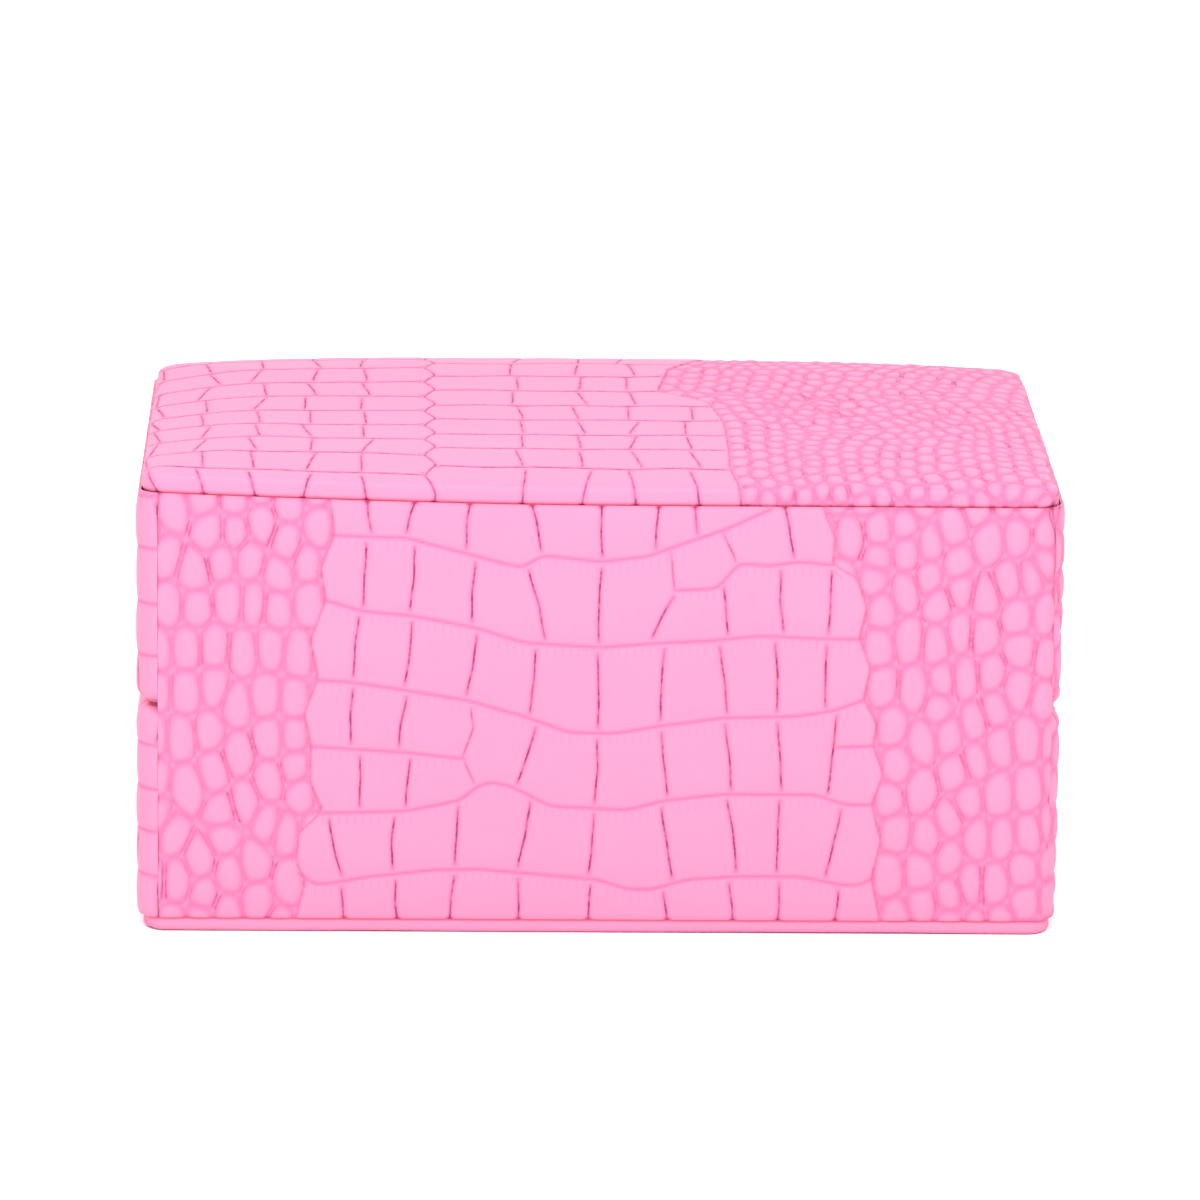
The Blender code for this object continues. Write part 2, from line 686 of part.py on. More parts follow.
def turned_along_y(name, profile, finish, parent, location, segments=24):
    """A solid turned about its own Y axis, from (radius, distance in front) points."""
    rings = []
    for radius, forward in profile:
        ring = []
        for i in range(segments):
            a = 2 * math.pi * i / segments
            ring.append((radius * math.cos(a), -forward, radius * math.sin(a)))
        rings.append(ring)
    piece = loft(name, rings, finish, parent)
    piece.data.shade_smooth()
    piece.data.set_sharp_from_angle(angle=math.radians(40))
    piece.location = Vector(location) - parent.location
    return piece


def build_button(button, finishes):
    """The button, and the latch plate behind it with the tooth that holds the tongue."""
    head = LOCK_FRONT + BUTTON_PROUD
    profile = [
        (BUTTON_SHANK, LATCH_FRONT + GAP),
        (BUTTON_SHANK, FLANGE_BACK),
        (BUTTON_FLANGE, FLANGE_BACK),
        (BUTTON_FLANGE, FLANGE_FRONT),
        (BUTTON_RADIUS, FLANGE_FRONT),
        (BUTTON_RADIUS, head - BUTTON_DOME),
        (BUTTON_RADIUS * 0.85, head - BUTTON_DOME * 0.35),
        (BUTTON_RADIUS * 0.5, head),
    ]
    place = (0, LOCK_FACE_Y, BUTTON_Z)
    turned_along_y("push_button", profile, finishes["gold"], button, place)

    tooth_z = LOCK_TOP - EYE_DROP
    tooth_height = EYE_HEIGHT - 2 * TOOTH_CLEARANCE
    latch_low = BUTTON_Z - BUTTON_SHANK - LATCH_ENDS
    latch_high = tooth_z + tooth_height / 2 + LATCH_ENDS
    latch = box(
        "latch_plate",
        (LATCH_WIDTH, LATCH_THICK, latch_high - latch_low),
        (0, LOCK_FACE_Y - (LATCH_BACK + LATCH_FRONT) / 2, (latch_low + latch_high) / 2),
        finishes["steel"],
        button,
    )
    tooth_back = LATCH_FRONT - JOIN
    tooth_front = TONGUE_BACK + TOOTH_REACH
    tooth = box(
        "latch_tooth_shape",
        (EYE_WIDTH - 2 * TOOTH_CLEARANCE, tooth_front - tooth_back, tooth_height),
        (0, LOCK_FACE_Y - (tooth_back + tooth_front) / 2, tooth_z),
        finishes["steel"],
        button,
    )
    join(latch, tooth)


def build_spring(case, finish):
    """A conical spring between the back plate and the latch plate. It presses flat."""
    curve = bpy.data.curves.new("button_spring", "CURVE")
    curve.dimensions = "3D"
    curve.bevel_depth = SPRING_WIRE
    curve.bevel_resolution = 1
    curve.use_fill_caps = True
    points = round(SPRING_TURNS * SPRING_POINTS_PER_TURN) + 1
    line = curve.splines.new("POLY")
    line.points.add(points - 1)
    near = SPRING_WIRE + GAP
    far = LATCH_BACK - SPRING_WIRE - GAP
    for i, point in enumerate(line.points):
        share = i / (points - 1)
        radius = BUTTON_RADIUS * (1 - SPRING_TAPER * share)
        a = 2 * math.pi * SPRING_TURNS * share
        forward = near + (far - near) * share
        point.co = (radius * math.cos(a), -forward, radius * math.sin(a), 1.0)
    add("button_spring", curve, finish, case, (0, LOCK_FACE_Y, BUTTON_Z))


def build_strike(lid, gold, tongue_y):
    """A plate on the lid with an arm and a tongue. The tongue drops through the lock's slot."""
    low = SPLIT_HEIGHT + STRIKE_RISE
    plate_size = (STRIKE_WIDTH, STRIKE_THICK, STRIKE_HEIGHT)
    plate_centre = (0, PLATE_Y - STRIKE_THICK / 2, low + STRIKE_HEIGHT / 2)
    strike = box("strike_plate", plate_size, plate_centre, gold, lid, rounding=PLATE_ROUND)
    arm_back = PLATE_Y - JOIN
    arm_front = tongue_y - TONGUE_THICK / 2
    arm_low = low + PLATE_ROUND
    arm = box(
        "strike_arm_shape",
        (TONGUE_WIDTH, arm_back - arm_front, TONGUE_THICK),
        (0, (arm_back + arm_front) / 2, arm_low + TONGUE_THICK / 2),
        gold,
        lid,
    )
    tongue_low = LOCK_TOP - TONGUE_REACH
    tongue_high = arm_low + JOIN
    tongue = box(
        "strike_tongue_shape",
        (TONGUE_WIDTH, TONGUE_THICK, tongue_high - tongue_low),
        (0, tongue_y, (tongue_high + tongue_low) / 2),
        gold,
        lid,
    )
    join(strike, arm)
    join(strike, tongue)
    eye_size = (EYE_WIDTH, TONGUE_THICK + CUTTER_EXTRA, EYE_HEIGHT)
    eye_centre = (0, tongue_y, LOCK_TOP - EYE_DROP)
    cut(strike, box("strike_eye_cutter", eye_size, eye_centre, gold, lid))
    for word, sign in (("left", -1), ("right", 1)):
        x = sign * (STRIKE_WIDTH / 2 - STRIKE_RIVET_EDGE)
        face = (x, PLATE_Y - STRIKE_THICK, low + STRIKE_HEIGHT - STRIKE_RIVET_EDGE)
        rivet(f"strike_rivet_{word}", face, gold, lid)


def main():
    clear_scene()
    finishes = {
        "leather": material("embossed_leather", (0.98, 0.45, 0.70), 0.5),
        "velvet": material("velvet", (0.93, 0.62, 0.72), 0.95),
        "fibreboard": material("fibreboard", (0.45, 0.32, 0.21), 0.8),
        "foam": material("foam", (0.85, 0.85, 0.80), 0.9),
        "gold": material("gold_plated_steel", (0.83, 0.63, 0.31), 0.25, 1.0),
        "steel": material("spring_steel", (0.60, 0.60, 0.62), 0.35, 1.0),
        "mirror": material("mirror", (0.92, 0.93, 0.94), 0.02, 1.0),
        "ribbon": material("ribbon", (0.88, 0.35, 0.58), 0.5),
    }
    case = empty("case", (0, 0, 0))
    lid = empty("lid_hinge", (0, HINGE_Y, SPLIT_HEIGHT))
    tray = empty("tray_lift", (0, 0, TRAY_LEVEL))
    button = empty("button_slide", (0, LOCK_FACE_Y, BUTTON_Z))
    build_base(case, finishes)
    build_lid(lid, finishes)
    build_tray(tray, finishes)
    build_lock(case, button, lid, finishes)
    bpy.context.view_layer.update()


main()
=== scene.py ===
# %% [markdown]
# # A crocodile-embossed leather jewellery case
# The case is a fibreboard box wrapped in pressed leather. One piece of leather covers the whole back
# and is the hinge. Inside are velvet, a lift-out tray, ring rolls and a mirror; in front a push lock.
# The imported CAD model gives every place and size, and this script makes what the eye sees.

# %% Load the frame
import json
import math

import bmesh
import bpy
import numpy as np
from mathutils import Matrix, Vector

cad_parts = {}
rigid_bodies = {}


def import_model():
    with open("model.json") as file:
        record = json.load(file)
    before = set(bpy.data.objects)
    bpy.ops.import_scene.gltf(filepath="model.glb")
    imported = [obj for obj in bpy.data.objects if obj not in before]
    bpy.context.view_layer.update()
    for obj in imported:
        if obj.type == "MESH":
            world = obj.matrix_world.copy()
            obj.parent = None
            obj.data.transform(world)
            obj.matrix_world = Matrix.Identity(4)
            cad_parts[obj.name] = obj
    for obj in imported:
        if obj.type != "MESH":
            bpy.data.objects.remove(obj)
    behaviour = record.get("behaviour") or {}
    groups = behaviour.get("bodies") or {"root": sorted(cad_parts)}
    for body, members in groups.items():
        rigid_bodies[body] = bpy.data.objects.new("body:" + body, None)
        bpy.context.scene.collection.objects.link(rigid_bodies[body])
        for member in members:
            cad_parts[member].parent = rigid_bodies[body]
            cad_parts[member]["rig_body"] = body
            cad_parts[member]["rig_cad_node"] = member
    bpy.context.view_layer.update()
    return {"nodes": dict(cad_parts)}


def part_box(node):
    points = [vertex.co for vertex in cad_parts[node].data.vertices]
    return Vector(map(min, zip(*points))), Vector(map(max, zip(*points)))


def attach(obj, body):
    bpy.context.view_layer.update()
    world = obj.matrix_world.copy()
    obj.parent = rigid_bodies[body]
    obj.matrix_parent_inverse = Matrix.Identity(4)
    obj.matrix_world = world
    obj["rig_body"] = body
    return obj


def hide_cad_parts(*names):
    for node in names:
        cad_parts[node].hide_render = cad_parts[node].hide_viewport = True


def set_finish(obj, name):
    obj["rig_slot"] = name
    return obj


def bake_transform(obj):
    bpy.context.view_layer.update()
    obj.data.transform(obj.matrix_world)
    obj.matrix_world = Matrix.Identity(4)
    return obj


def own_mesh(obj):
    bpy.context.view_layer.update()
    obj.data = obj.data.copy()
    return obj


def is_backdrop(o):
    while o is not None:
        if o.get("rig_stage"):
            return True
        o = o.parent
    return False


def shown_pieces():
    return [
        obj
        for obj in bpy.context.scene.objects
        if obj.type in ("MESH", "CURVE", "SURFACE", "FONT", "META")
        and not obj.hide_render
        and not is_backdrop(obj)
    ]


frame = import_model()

MM = 0.001  # all the work below is in millimetres, and Blender's unit is the metre

# %% [markdown]
# ## Camera
# The case is seen from behind and a little above, from 1.7 m, through a long lens, so that its upright
# edges stay nearly parallel. The camera is turned by three plain angles.

# %% Camera
CAMERA_PLACE = Vector((42.8, 1710.1, 494.6)) * MM
TURN, TILT, ROLL = 178.521, 75.7025, 0.7024  # degrees about Z, X, and the lens's own axis
bpy.ops.object.camera_add(location=CAMERA_PLACE)
camera = bpy.context.object
turned = [Matrix.Rotation(math.radians(a), 4, axis) for a, axis in ((TURN, "Z"), (TILT, "X"), (ROLL, "Z"))]
camera.matrix_world = Matrix.Translation(CAMERA_PLACE) @ turned[0] @ turned[1] @ turned[2]
camera.data.lens = 239.4
camera.data.clip_start = 0.05
camera.data.clip_end = 50
bpy.context.scene.camera = camera
print("camera looks along", [round(c, 3) for c in -camera.matrix_world.col[2].xyz])

# %% [markdown]
# ## Light
# A catalogue light: white all round, a broad lamp above the back, a weak one beside it and one high at
# each front corner. Rounded edges catch a little more light than flat faces, and no hard shadow falls.
# The Standard view keeps the strong pink as strong as it is.

# %% Light
scene = bpy.context.scene
scene.view_settings.view_transform = "Standard"
world = bpy.data.worlds.new("white_studio")
scene.world = world
world.use_nodes = True
background = world.node_tree.nodes["Background"].inputs
background["Color"].default_value = (1, 1, 1, 1)
background["Strength"].default_value = 1.0


def softbox(name, place, width, height, power):
    """One oblong lamp that faces the middle of the case. Place, width and height are in millimetres."""
    bpy.ops.object.light_add(type="AREA", location=Vector(place) * MM)
    lamp = bpy.context.object
    lamp.name = name
    lamp.data.shape = "RECTANGLE"
    lamp.data.size = width * MM
    lamp.data.size_y = height * MM
    lamp.data.energy = power
    aim = Vector((0, 0, 50)) * MM - lamp.location
    lamp.rotation_euler = aim.to_track_quat("-Z", "Y").to_euler()


softbox("lamp_over_back", (60, 480, 560), 900, 260, 4.5)
softbox("lamp_back_right", (-1200, 1100, 700), 800, 800, 1.5)
for side in (-1, 1):
    softbox(f"lamp_front_{side:+d}", (850 * side, -900, 1050), 500, 500, 5)
print(len(bpy.data.lights), "lamps")

# %% [markdown]
# ## Tools for finishes
# Every finish is one Principled shader fed by a few nodes. Each tool below makes one node, or a pair that
# always go together, and gives back its result for the next.

# %% Tools for finishes
def linear(colour):
    """A hex colour, as on a paint chart, as the linear values that a shader takes."""
    channels = [int(colour[i : i + 2], 16) / 255 for i in (1, 3, 5)]
    return (*[c / 12.92 if c < 0.04045 else ((c + 0.055) / 1.055) ** 2.4 for c in channels], 1.0)


def add_node(tree, kind, settings=(), links=()):
    """Adds a shader node, sets its properties and sockets, and links the sockets that are fed."""
    made = tree.nodes.new("ShaderNode" + kind)
    for key, value in dict(settings).items():
        if isinstance(key, str) and hasattr(made, key):
            setattr(made, key, value)
        else:
            made.inputs[key].default_value = value
    for key, source in dict(links).items():
        tree.links.new(source, made.inputs[key])
    return made


def noise(tree, scale, detail=2, **settings):
    """Noise in the piece's own space. Its patches are about 1000 / scale millimetres across."""
    place = tree.nodes.get("Texture Coordinate") or add_node(tree, "TexCoord")
    settings.update({"Scale": scale, "Detail": detail})
    return add_node(tree, "TexNoise", settings, {"Vector": place.outputs["Object"]}).outputs[0]


def feed(kind, tree, settings, terms):
    """A node fed with numbers and sockets in order. Returns its result."""
    numbers = {i: term for i, term in enumerate(terms) if isinstance(term, (int, float))}
    sockets = {i: term for i, term in enumerate(terms) if i not in numbers}
    return add_node(tree, kind, {**settings, **numbers}, sockets).outputs[0]


def calc(tree, operation, *terms):
    """A sum, product or other result of numbers and sockets."""
    return feed("Math", tree, {"operation": operation}, terms)


def spread(tree, share, low, high, dark=0.0, light=1.0):
    """Stretches a value so that low gives dark and high gives light, and stops there."""
    return feed("MapRange", tree, {}, (share, low, high, dark, light))


def tint(tree, below, share, colour):
    """Lays a colour over another by a share that varies."""
    mix = add_node(tree, "Mix", {"data_type": "RGBA", 7: linear(colour)}, {0: share})
    if isinstance(below, str):
        mix.inputs[6].default_value = linear(below)
    else:
        tree.links.new(below, mix.inputs[6])
    return mix.outputs[2]


def dress(tree, shader, colour, height, strength, depth, gloss=None):
    """Gives a shader its colour, its fine relief with a depth in millimetres, and its roughness."""
    bump = add_node(tree, "Bump", {"Strength": strength, "Distance": depth * MM}, {"Height": height})
    tree.links.new(bump.outputs[0], shader.inputs["Normal"])
    tree.links.new(colour, shader.inputs["Base Color"])
    if gloss is not None:
        tree.links.new(gloss, shader.inputs["Roughness"])


def new_finish(name, surface):
    """A material with one Principled shader. Returns the material, its tree and the shader."""
    finish = bpy.data.materials.new(name)
    finish.use_nodes = True
    shader = finish.node_tree.nodes["Principled BSDF"]
    for key, value in surface.items():
        shader.inputs[key].default_value = value
    return finish, finish.node_tree, shader


# %% [markdown]
# ## Floor
# The case stands on plain white paper, very large so that its edge is never seen.

# %% Floor
bpy.ops.object.select_all(action="DESELECT")
bpy.ops.mesh.primitive_plane_add(size=12, location=(0, 0, 0))
floor = bpy.context.object
floor.name = "studio_floor"
paper, _, paper_shader = new_finish("matt_white_paper", {"Roughness": 0.9})
paper_shader.inputs["Base Color"].default_value = linear("#FEFEFE")
floor.data.materials.append(paper)
floor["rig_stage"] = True
print("floor 12 m wide")

# %% [markdown]
# ## The hide's pattern
# Such leather is split hide or coated cloth, pressed hot between steel plates that carry the scales of a
# crocodile's belly: large soft tiles in rows, cut by thin cracks, and pebbles on the flanks. A hand
# tool can't place hundreds of scales, so plates are computed here just as the real ones are engraved.
# A plate is a grid of points 0.2 mm apart. For each point it keeps how far the nearest groove is.

# %% An empty plate
STEP = 0.2  # mm between the points of a plate
FAR = 9.0  # mm, more than any groove reaches
rng = np.random.default_rng(7)


def new_plate(u0, u1, v0, v1):
    """A blank pattern plate. u runs along the rows of scales and v across them."""
    u, v = np.meshgrid(np.arange(u0, u1 + STEP, STEP), np.arange(v0, v1 + STEP, STEP))
    plate = {"u": u, "v": v}
    for share in ("beads", "comb", "crack_on"):
        plate[share] = np.zeros(u.shape)
    for groove in ("row", "cut", "scale", "crack"):
        plate[groove] = np.full(u.shape, FAR)
    return plate


def window(plate, u_low, u_high, v_low, v_high):
    """The part of a plate between these limits, as a pair of slices."""
    columns = np.searchsorted(plate["u"][0], (u_low, u_high))
    rows = np.searchsorted(plate["v"][:, 0], (v_low, v_high))
    return slice(*rows), slice(*columns)


def smooth_line(places, points, reach=3.0):
    """A smooth line through points, at the given evenly spaced places. Points are (place, value)."""
    along, value = np.array(points, float).T
    half = int(reach / STEP)
    kernel = np.hanning(2 * half + 1)
    line = np.pad(np.interp(places, along, value), half, mode="edge")
    return np.convolve(line, kernel / kernel.sum(), "valid")


def from_below(line):
    """Turns points (u, v) that run from top to bottom into (v, u) points from bottom to top."""
    return [(v, u) for u, v in line[::-1]]


def u_at(line, v):
    """Where a line of points (u, v) from top to bottom is at the height v."""
    return np.interp(v, *np.array(from_below(line)).T)


# %% [markdown]
# ## Rows and cracks
# A row line is a broad, faint valley. The cracks between two row lines are thin, with painted shade in them,
# and stop short of the rows. A faint comb of short dashes lies under each row line, where one scale laps over
# the next.

# %% Rows and cracks
ROW_CORE = 0.5  # the lower, the wider the dark core of a row line than that of a crack
COMB_TOP, COMB_LOW = 0.5, 3.2  # mm below a row line
CRACK_CLEAR, CRACK_REACH = 0.9, 2.5  # mm beside a crack in which it wipes out others, or wins if nearer


def press_row(plate, points, dark=0.0):
    """Presses one row line through points (u, v). Dark is how much of a crack it is, that is how much painted
    crack shade its core gets.
    """
    axis = plate["u"][0]
    line = smooth_line(axis, points)
    across = (plate["v"] - line) / np.sqrt(1 + np.gradient(line, STEP) ** 2)
    past_end = np.maximum(points[0][0] - axis, axis - points[-1][0]).clip(0)
    plate["row"] = np.minimum(plate["row"], np.hypot(across, past_end))
    band = np.clip((-across - COMB_TOP) / 0.5, 0, 1) * np.clip((COMB_LOW + across) / 1.8, 0, 1)
    plate["comb"] = np.maximum(plate["comb"], band * (past_end <= 0))
    if dark:
        thin = ROW_CORE * across
        nearer = (np.abs(thin) < np.abs(plate["crack"])) & (np.abs(across) < 1.5) & (past_end <= 0)
        plate["crack"][nearer] = thin[nearer]
        shade = dark * np.clip(1.6 - np.abs(across) / 0.5, 0, 1)
        plate["crack_on"][nearer] = np.maximum(plate["crack_on"], shade)[nearer]


def press_crack(plate, points, strength=1.0):
    """Presses one crack through points (u, v) from its top to its bottom."""
    high, low = points[0][1], points[-1][1]
    across_u = [u for u, v in points]
    spot = window(plate, min(across_u) - 3, max(across_u) + 3, low - 2, high + 2)
    u, v = plate["u"][spot], plate["v"][spot]
    if u.size == 0:
        return
    phase = rng.uniform(0, 6.28)
    line = smooth_line(v[:, 0], from_below(points), 2.0) + 0.04 * np.sin(v[:, 0] * 0.8 + phase)
    across = (u - line[:, None]) / np.sqrt(1 + np.gradient(line, STEP)[:, None] ** 2)
    past_end = np.maximum(low - v, v - high).clip(0)
    away = np.hypot(across, past_end * 1.5) / max(strength, 0.4)
    plate["cut"][spot] = np.minimum(plate["cut"][spot], away)
    clear = (np.abs(across) < CRACK_CLEAR) & (v > low) & (v < high)
    plate["crack_on"][spot][clear] = 0
    nearer = clear | (np.abs(across) < np.abs(plate["crack"][spot])) & (np.abs(across) < CRACK_REACH)
    plate["crack"][spot][nearer] = across[nearer]
    taper = np.clip(np.minimum(v - low, high - v) / 1.2, 0, 1) * np.clip(2.2 - np.abs(across), 0, 1)
    plate["crack_on"][spot] = np.maximum(plate["crack_on"][spot], strength * taper)


# %% [markdown]
# ## Pebbles
# On the flanks the scales are small and upright. Each one grows round a seed until it meets the next.
# Many of their upright sides get a thin line of painted shade on both flanks of the groove, which level sides
# lack.
# Tiny beads fill the corners where three scales meet.

# %% Pebbles
ROUNDING = 5.0  # the lower, the rounder the scales' corners
LINE_OFF = 0.38  # mm from the border between two scales to its dark lines
BEAD = 0.13  # the lower, the smaller the beads


def press_pebbles(plate, seeds, size, inside):
    """Presses scales round seeds (u, v). Size is their usual width and height; inside marks where."""
    shape = plate["u"].shape
    near = [np.full(shape, 99.0) for _ in range(3)]
    who = [np.zeros(shape, int) for _ in range(2)]
    reach_u, reach_v = 2.2 * size[0], 2.2 * size[1]
    for number, (su, sv) in enumerate(seeds):
        spot = window(plate, su - reach_u, su + reach_u, sv - reach_v, sv + reach_v)
        d = np.hypot((plate["u"][spot] - su) / size[0], (plate["v"][spot] - sv) / size[1])
        a, b, c = (n[spot] for n in near)
        first, second = d < a, (d >= a) & (d < b)
        near[2][spot] = np.where(first | second, b, np.minimum(c, d))
        near[1][spot] = np.where(first, a, np.where(second, d, b))
        near[0][spot] = np.where(first, d, a)
        who[1][spot] = np.where(first, who[0][spot], np.where(second, number, who[1][spot]))
        who[0][spot] = np.where(first, number, who[0][spot])
    seeds = np.array(seeds)
    span = (seeds[who[1]] - seeds[who[0]]) / np.array(size) ** 2
    upright = np.abs(span[..., 0]) / (np.hypot(span[..., 0], span[..., 1]) + 1e-6)
    slope = np.hypot(span[..., 0], span[..., 1]) / (
        np.hypot(*np.moveaxis(seeds[who[1]] - seeds[who[0]], -1, 0) / np.array(size)[:, None, None]) + 1e-6
    )
    gap = [np.minimum(n - near[0], 3.0) for n in near[1:]]
    gap = -np.log(np.exp(-ROUNDING * gap[0]) + np.exp(-ROUNDING * gap[1])) / ROUNDING
    away = gap / 2 / (slope + 1e-6)
    plate["scale"][inside] = np.minimum(plate["scale"], np.maximum(away, 0))[inside]
    side = (near[1] - near[0]) / 2 / (slope + 1e-6)
    plate["crack"][inside] = (side - LINE_OFF)[inside]
    # each pair of neighbours has its own fixed share of luck, which gives some borders more painted shade
    luck = np.modf(np.sin((who[0] + 1.0) * (who[1] + 1.0)) * 43.7)[0] ** 2
    dark = (0.15 + 0.55 * luck) * np.clip(upright * 2.2 - 1.1, 0.0, 1) * np.clip(2.2 - side / 0.4, 0, 1)
    plate["crack_on"][inside] = dark[inside]
    plate["beads"][inside] = np.exp(-(((near[2] - near[0]) / BEAD) ** 2))[inside]


def beside(line, side, columns, v0, v1, size):
    """Seeds in upright columns beside a line of points (u, v), on its lower (-1) or higher (1) side.

    The first column has a twin beyond the line, so that the line becomes the border between them.
    """
    seeds, away = [], 0.0
    for column in range(columns):
        width = size[0] * rng.uniform(0.8, 1.15)
        v = v0 + rng.uniform(0, size[1])
        while v < v1:
            height = size[1] * rng.choice((0.65, 0.9, 1.05, 1.25))
            edge = u_at(line, v + height / 2)
            sway = 0 if column == 0 else rng.uniform(-0.7, 0.7)
            seeds.append((edge + side * (away + width / 2) + sway, v + height / 2))
            if column == 0:
                seeds.append((edge - side * width / 2, v + height / 2))
            v += height
        away += width
    return seeds


# %% [markdown]
# ## From grooves to heights
# Each kind of groove has a narrow floor and wide soft shoulders, and what is left between them is a
# low dome. The floor of a groove is 0.3 to 0.6 mm down, as on real pressed leather.

# %% From grooves to heights
def valley(distance, width):
    """1 on the line of a groove, falling to 0 over about its width."""
    return np.exp(-((distance / width) ** 2))


def settle(plate):
    """Works out the height of every point of a plate, and how much painted shade its grooves get."""
    row, cut, scale = plate["row"], plate["cut"], plate["scale"]
    low = 0.20 * valley(row, 0.45) + 0.22 * valley(row, 2.0)
    low += 0.20 * valley(cut, 0.42) + 0.12 * valley(cut, 1.9)
    low += 0.26 * valley(scale, 0.55) + 0.34 * valley(scale, 1.8)
    plate["height"] = 0.16 * plate["beads"] - low
    grooves = [0.95 * valley(row, 0.4), 0.8 * valley(cut, 0.5), 0.75 * valley(scale, 0.7)]
    plate["groove"] = np.maximum.reduce(grooves) * (1 - 0.7 * plate["beads"])
    return plate


CHANNELS = ("height", "groove", "crack", "crack_on", "comb")


def read_plate(plate, u, v):
    """What a plate says at the points (u, v), smoothly between its own points."""
    rows, columns = plate["u"].shape
    x = np.clip((u - plate["u"][0, 0]) / STEP, 0, columns - 1.001)
    y = np.clip((v - plate["v"][0, 0]) / STEP, 0, rows - 1.001)
    i, j = x.astype(int), y.astype(int)
    fx, fy = x - i, y - j
    read = {}
    for key in CHANNELS:
        p = plate[key]
        low = p[j, i] * (1 - fx) + p[j, i + 1] * fx
        high = p[j + 1, i] * (1 - fx) + p[j + 1, i + 1] * fx
        read[key] = low * (1 - fy) + high * fy
    return read


# %% [markdown]
# ## The leather of the back
# The belly of the hide lies in the middle of the back, in six rows, with the flanks at both sides.
# The rows dip towards the middle as the animal's do. Each row is a short list of points in millimetres:
# u to the left of someone who faces the lock, and height above the table.

# %% The back's plate
BACK_LOW, BACK_HIGH = 3.5, 94.7
BELLY_ROWS = {
    "seam": [(-95, BACK_HIGH), (98, BACK_HIGH)],
    "neck": [
        (-57.5, 87.3), (-41.5, 87.2), (-28.5, 84), (-17, 81.2), (-12.5, 84), (0, 82.7), (10, 84),
        (17.5, 86.8), (26.5, 90), (36, 94.5),
    ],
    "shoulder": [(15.7, 76.5), (25, 77), (29, 82.5), (36, 82), (42, 83), (49.5, 82.3)],
    "chest": [
        (-59, 73.5), (-51, 71.2), (-40.5, 70.4), (-27, 68), (-16.5, 64.8), (0, 63.8), (11, 64.8), (23, 65.4),
        (34, 66.6), (48, 66), (55.5, 66),
    ],
    "waist": [
        (-60.5, 56.2), (-53, 55.8), (-42, 54.2), (-28.5, 52), (-16.5, 48.6), (-6.5, 45), (3, 44.8),
        (13.5, 46.6), (26.5, 48.4), (42, 48.8), (50.5, 50.2), (56.5, 52.6),
    ],
    "fold": [(-62, 41.6), (-52.5, 41), (-42, 40.4), (-29, 39)],
    "nick": [(51, 42), (60, 42.4)],
    "hip": [
        (-59.5, 26.7), (-41.5, 27.3), (-29.5, 29.8), (-26.5, 32.8), (-23, 33.9), (-18.5, 32.8), (-10.5, 28.6),
        (6, 27.8), (14.5, 30), (26.5, 31.4), (46.5, 31.4), (53, 29.2), (59, 29.2),
    ],
    "tail": [
        (-64.3, 13.5), (-61.5, 11), (-58, 11), (-50, 12.5), (-35.5, 14.2), (-25, 14.4), (-11.5, 13.2),
        (0, 12.2), (6, 10.2), (11.5, 10), (19, 12.3), (30.5, 13.1), (44, 13), (53, 11.2), (56.5, 11.2),
        (59, 12.8),
    ],
    "foot": [(-95, BACK_LOW), (98, BACK_LOW)],
}
# Each band between two rows, with the cracks that cross it: where each starts above and ends below.
BELLY_BANDS = {
    ("seam", "neck"): [
        (-50, -49), (-39.4, -41.5), (-28, -28.8), (-15.2, -12.9), (0, 0.2), (12.2, 11.5), (19.8, 20.4),
    ],
    ("seam", "shoulder"): [(38.7, 41)],
    ("neck", "chest"): [(-50, -50.7), (-39.8, -40.8), (-26.8, -27.5), (-15.6, -11.9), (0, -0.4)],
    ("shoulder", "chest"): [(15.5, 10.9), (26.2, 27.2), (38.3, 39.1), (49.1, 48.7)],
    ("chest", "waist"): [
        (-51.6, -52.7), (-40.3, -41.8), (-26.4, -28.6), (-13.8, -15), (-0.6, -0.3), (13.6, 13),
        (25.4, 27.3), (37.3, 37.9), (48.4, 48.3),
    ],
    ("waist", "fold"): [(-52.8, -53.2), (-41.2, -43)],
    ("fold", "hip"): [(-51.2, -51.3), (-40.4, -41.4)],
    ("waist", "hip"): [(-13.6, -17.6), (-0.5, -1), (13.2, 14.8), (26.8, 28.4), (38.1, 39.2), (50.8, 49.2)],
    ("hip", "tail"): [
        (-57.8, -55), (-43.8, -44.1), (-30.1, -30.8), (-14.6, -17.3), (-1, -2), (13.4, 16),
        (27.6, 29.8), (38.8, 38.5), (52.2, 49),
    ],
    ("tail", "foot"): [
        (-55.2, -54.5), (-43.5, -43), (-30.8, -31.8), (-17.2, -17.1), (-1.6, -2.1), (14.2, 15.2),
        (28.2, 29.2), (39.1, 38.9), (52, 51.1),
    ],
}
# The borders between belly and flanks, from top to bottom.
BELLY_LEFT = [
    (-57.8, 95), (-56.9, 87.3), (-59.8, 80.5), (-58.7, 73.3), (-61.9, 65), (-60.3, 56.6), (-63.2, 49),
    (-61.7, 41.5), (-62, 34), (-59.2, 27.2), (-64.4, 22.2), (-64.8, 15.8), (-62.9, 11.2), (-65, 3),
]
BELLY_RIGHT = [
    (46.8, 95), (49.8, 88.5), (49.2, 82.5), (54.6, 79.5), (56.8, 73), (55.3, 66.3), (57.9, 59.5),
    (56.4, 52.8), (59.4, 47.5), (58.8, 42.4), (61, 36), (58.7, 29.4), (60.8, 21), (58.9, 13), (61, 3),
]
